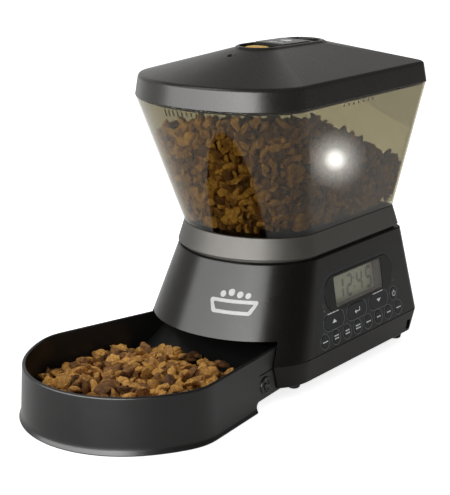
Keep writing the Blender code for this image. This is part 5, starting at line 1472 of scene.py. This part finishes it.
# ---------------------------------------------------------------- stage
def make_floor():
    """Wide pale floor that meets the white background without an edge."""
    size = 14.0
    floor = mesh_piece("floor", [(-size, -size, 0), (size, -size, 0), (size, size, 0), (-size, size, 0)],
                       [(0, 1, 2, 3)])
    made, tree, where = new_material("floor")
    tone = tree.noise(where, 3.0, 3.0)
    grey = tree.blend(tone, (0.86, 0.86, 0.86, 1), (0.88, 0.88, 0.88, 1))
    matt = tree.add("ShaderNodeBsdfDiffuse", {"Color": grey})
    rays = tree.add("ShaderNodeLightPath").outputs
    seen = tree.add("ShaderNodeEmission", {"Color": (1, 1, 1, 1), "Strength": 0.80})
    mirrored = tree.add("ShaderNodeEmission", {"Color": (1, 0.98, 0.94, 1), "Strength": 0.18})
    bright = tree.add("ShaderNodeAddShader", {0: matt.outputs[0], 1: seen.outputs[0]})
    fair = tree.add("ShaderNodeAddShader", {0: matt.outputs[0], 1: mirrored.outputs[0]})
    tree.finish(tree.mix(rays["Is Camera Ray"], tree.mix(rays["Is Glossy Ray"], matt, fair), bright))
    floor.data.materials.append(made)


def make_world():
    """White surround for the eye, an even half-light on matt surfaces and a dim one in gloss."""
    world = bpy.data.worlds.new("studio")
    bpy.context.scene.world = world
    tree = Tree(world)
    rays = tree.add("ShaderNodeLightPath").outputs
    white = tree.add("ShaderNodeBackground", {"Color": (1, 1, 1, 1), "Strength": 1.0})
    soft = tree.add("ShaderNodeBackground", {"Color": (1, 1, 1, 1), "Strength": 0.52})
    dim = tree.add("ShaderNodeBackground", {"Color": (1, 0.97, 0.92, 1), "Strength": 0.15})
    tree.finish(tree.mix(rays["Is Camera Ray"], tree.mix(rays["Is Glossy Ray"], soft, dim), white),
                "ShaderNodeOutputWorld")


def softbox(name, azimuth, elevation, distance, size, radiance, aim=(0.0, 0.0, 0.14), diffuse=True):
    """Area light that shines at a point. Azimuth 0 is at -Y and 90 at +X."""
    data = bpy.data.lights.new(name, "AREA")
    data.shape = "RECTANGLE"
    data.size, data.size_y = size
    data.energy = radiance * math.pi * size[0] * size[1]
    light = bpy.data.objects.new(name, data)
    bpy.context.collection.objects.link(light)
    turn, lift = math.radians(azimuth), math.radians(elevation)
    away = Vector((math.sin(turn) * math.cos(lift), -math.cos(turn) * math.cos(lift), math.sin(lift)))
    light.location = Vector(aim) + away * distance
    light.rotation_euler = (-away).to_track_quat("-Z", "Y").to_euler()
    light.visible_camera = False
    light.visible_diffuse = diffuse
    return light


def screen(name, azimuths, elevations, radiance):
    """Softbox that only gloss shows. It fills a range of directions as seen from the object."""
    distance = 1.4
    middle = sum(azimuths) / 2, sum(elevations) / 2
    half = [math.radians(ends[1] - ends[0]) / 2 for ends in (azimuths, elevations)]
    size = [2 * distance * math.tan(angle) for angle in half]
    return softbox(name, *middle, distance, size, radiance, diffuse=False)


def fade_to_left(light):
    """Make a softbox dimmer towards its left, as seen from behind it."""
    tree = Tree(light.data)
    place = tree.add("ShaderNodeNewGeometry").outputs["Parametric"]
    across = tree.add("ShaderNodeSeparateXYZ", {"Vector": place}).outputs["X"]
    strength = tree.spread(tree.math("POWER", across, 1.7), 0.48, 1.0, 0.0, 0.66)
    tree.finish(tree.add("ShaderNodeEmission", {"Strength": strength}), "ShaderNodeOutputLight")


def spot_lamp(hopper):
    """Small round lamp with a soft rim, low behind the hopper, that only the hopper mirrors."""
    light = softbox("spot", 156, -20.9, 0.46, (0.085, 0.085), 1.0, (0.0765, 0.0606, 0.1974), diffuse=False)
    light.data.shape = "DISK"
    tree = Tree(light.data)
    place = tree.add("ShaderNodeNewGeometry").outputs["Parametric"]
    kind = "ShaderNodeVectorMath"
    centred = tree.add(kind, {0: place, 1: (0.5, 0.5, 0.0)}, operation="SUBTRACT").outputs[0]
    doubled = tree.add(kind, {0: centred, 1: (2.0, 2.0, 0.0)}, operation="MULTIPLY").outputs[0]
    away = tree.add(kind, {0: doubled}, operation="LENGTH").outputs["Value"]
    halo = tree.math("POWER", tree.spread(away, 1.0, 0.0, 0.0, 1.0), 2.0)
    core = tree.spread(away, 1.0, 0.0, 0.0, 0.34)
    glow = tree.math("MULTIPLY_ADD", core, 8.0, tree.math("MULTIPLY", halo, 7.5))
    tree.finish(tree.add("ShaderNodeEmission", {"Strength": glow}), "ShaderNodeOutputLight")
    lamp_for(light, hopper)


def lamp_for(light, *pieces):
    """Let a light reach only the given pieces."""
    receivers = bpy.data.collections.new(light.name + "_receivers")
    for piece in pieces:
        receivers.objects.link(piece)
    light.light_linking.receiver_collection = receivers


def make_lights(hopper, food):
    """Screens for the gloss, lamps for the matt surfaces and for the food behind its wall."""
    # what the glossy mouldings mirror
    fade_to_left(screen("front_box", (-52, 42), (-4, 36), 16.0))
    screen("low_right", (42, 54), (-4, 10), 3.0)
    screen("rear_right", (-178, -150), (18, 50), 0.34)
    screen("left_fill", (-112, -52), (-4, 40), 0.6)
    screen("rear_left", (-150, -112), (2, 34), 0.50)
    # what lights the matt surfaces
    softbox("key", -35, 58, 1.5, (0.8, 0.8), 3.6)
    through_wall = softbox("food_key", -6, 24, 1.3, (0.6, 0.5), 44.0)
    through_wall.data.color = (0.64, 0.76, 1.0)
    lamp_for(through_wall, *food)
    spot_lamp(hopper)


CAMERA_AT, CAMERA_TARGET = Vector((0.7499, -0.8134, 0.4297)), Vector((0.0551, -0.0553, 0.1400))
CAMERA_LENS, CAMERA_ROLL = 96.05, math.radians(0.12)


def make_camera():
    """Long lens from the front right, a little above the object."""
    data = bpy.data.cameras.new("camera")
    data.lens = CAMERA_LENS
    data.sensor_width = 36.0
    data.clip_end = 50.0
    camera = bpy.data.objects.new("camera", data)
    bpy.context.collection.objects.link(camera)
    camera.location = CAMERA_AT
    look = (CAMERA_TARGET - CAMERA_AT).to_track_quat("-Z", "Y").to_matrix().to_4x4()
    camera.rotation_euler = (look @ Matrix.Rotation(-CAMERA_ROLL, 4, "Z")).to_euler()
    bpy.context.scene.camera = camera


# ---------------------------------------------------------------- assembly
FINISH = make_finishes()


def finish_cad_nodes():
    """Give every CAD node the finish of its slot."""
    slots = {part["node"]: part["material_slot"] for part in frame["record"]["subparts"]}
    for name, piece in frame["nodes"].items():
        piece.data.materials.clear()
        piece.data.materials.append(FINISH[slots[name]])


finish_cad_nodes()
make_lid()
make_lid_seal()
make_label_plate()
make_latch()
hopper_piece = make_hopper()
make_rim_ribs()
make_collar()
make_upper_body()
make_screw_posts()
make_base_tray()
make_feet()
make_battery_door()
make_front_mark()
make_bowl()
make_fascia()
make_display()
make_keys()
make_lenses()
hopper_food = fill_hopper()
fill_bowl()
make_floor()
make_world()
make_lights(hopper_piece, hopper_food)
make_camera()
bpy.context.scene.view_settings.view_transform = "Standard"
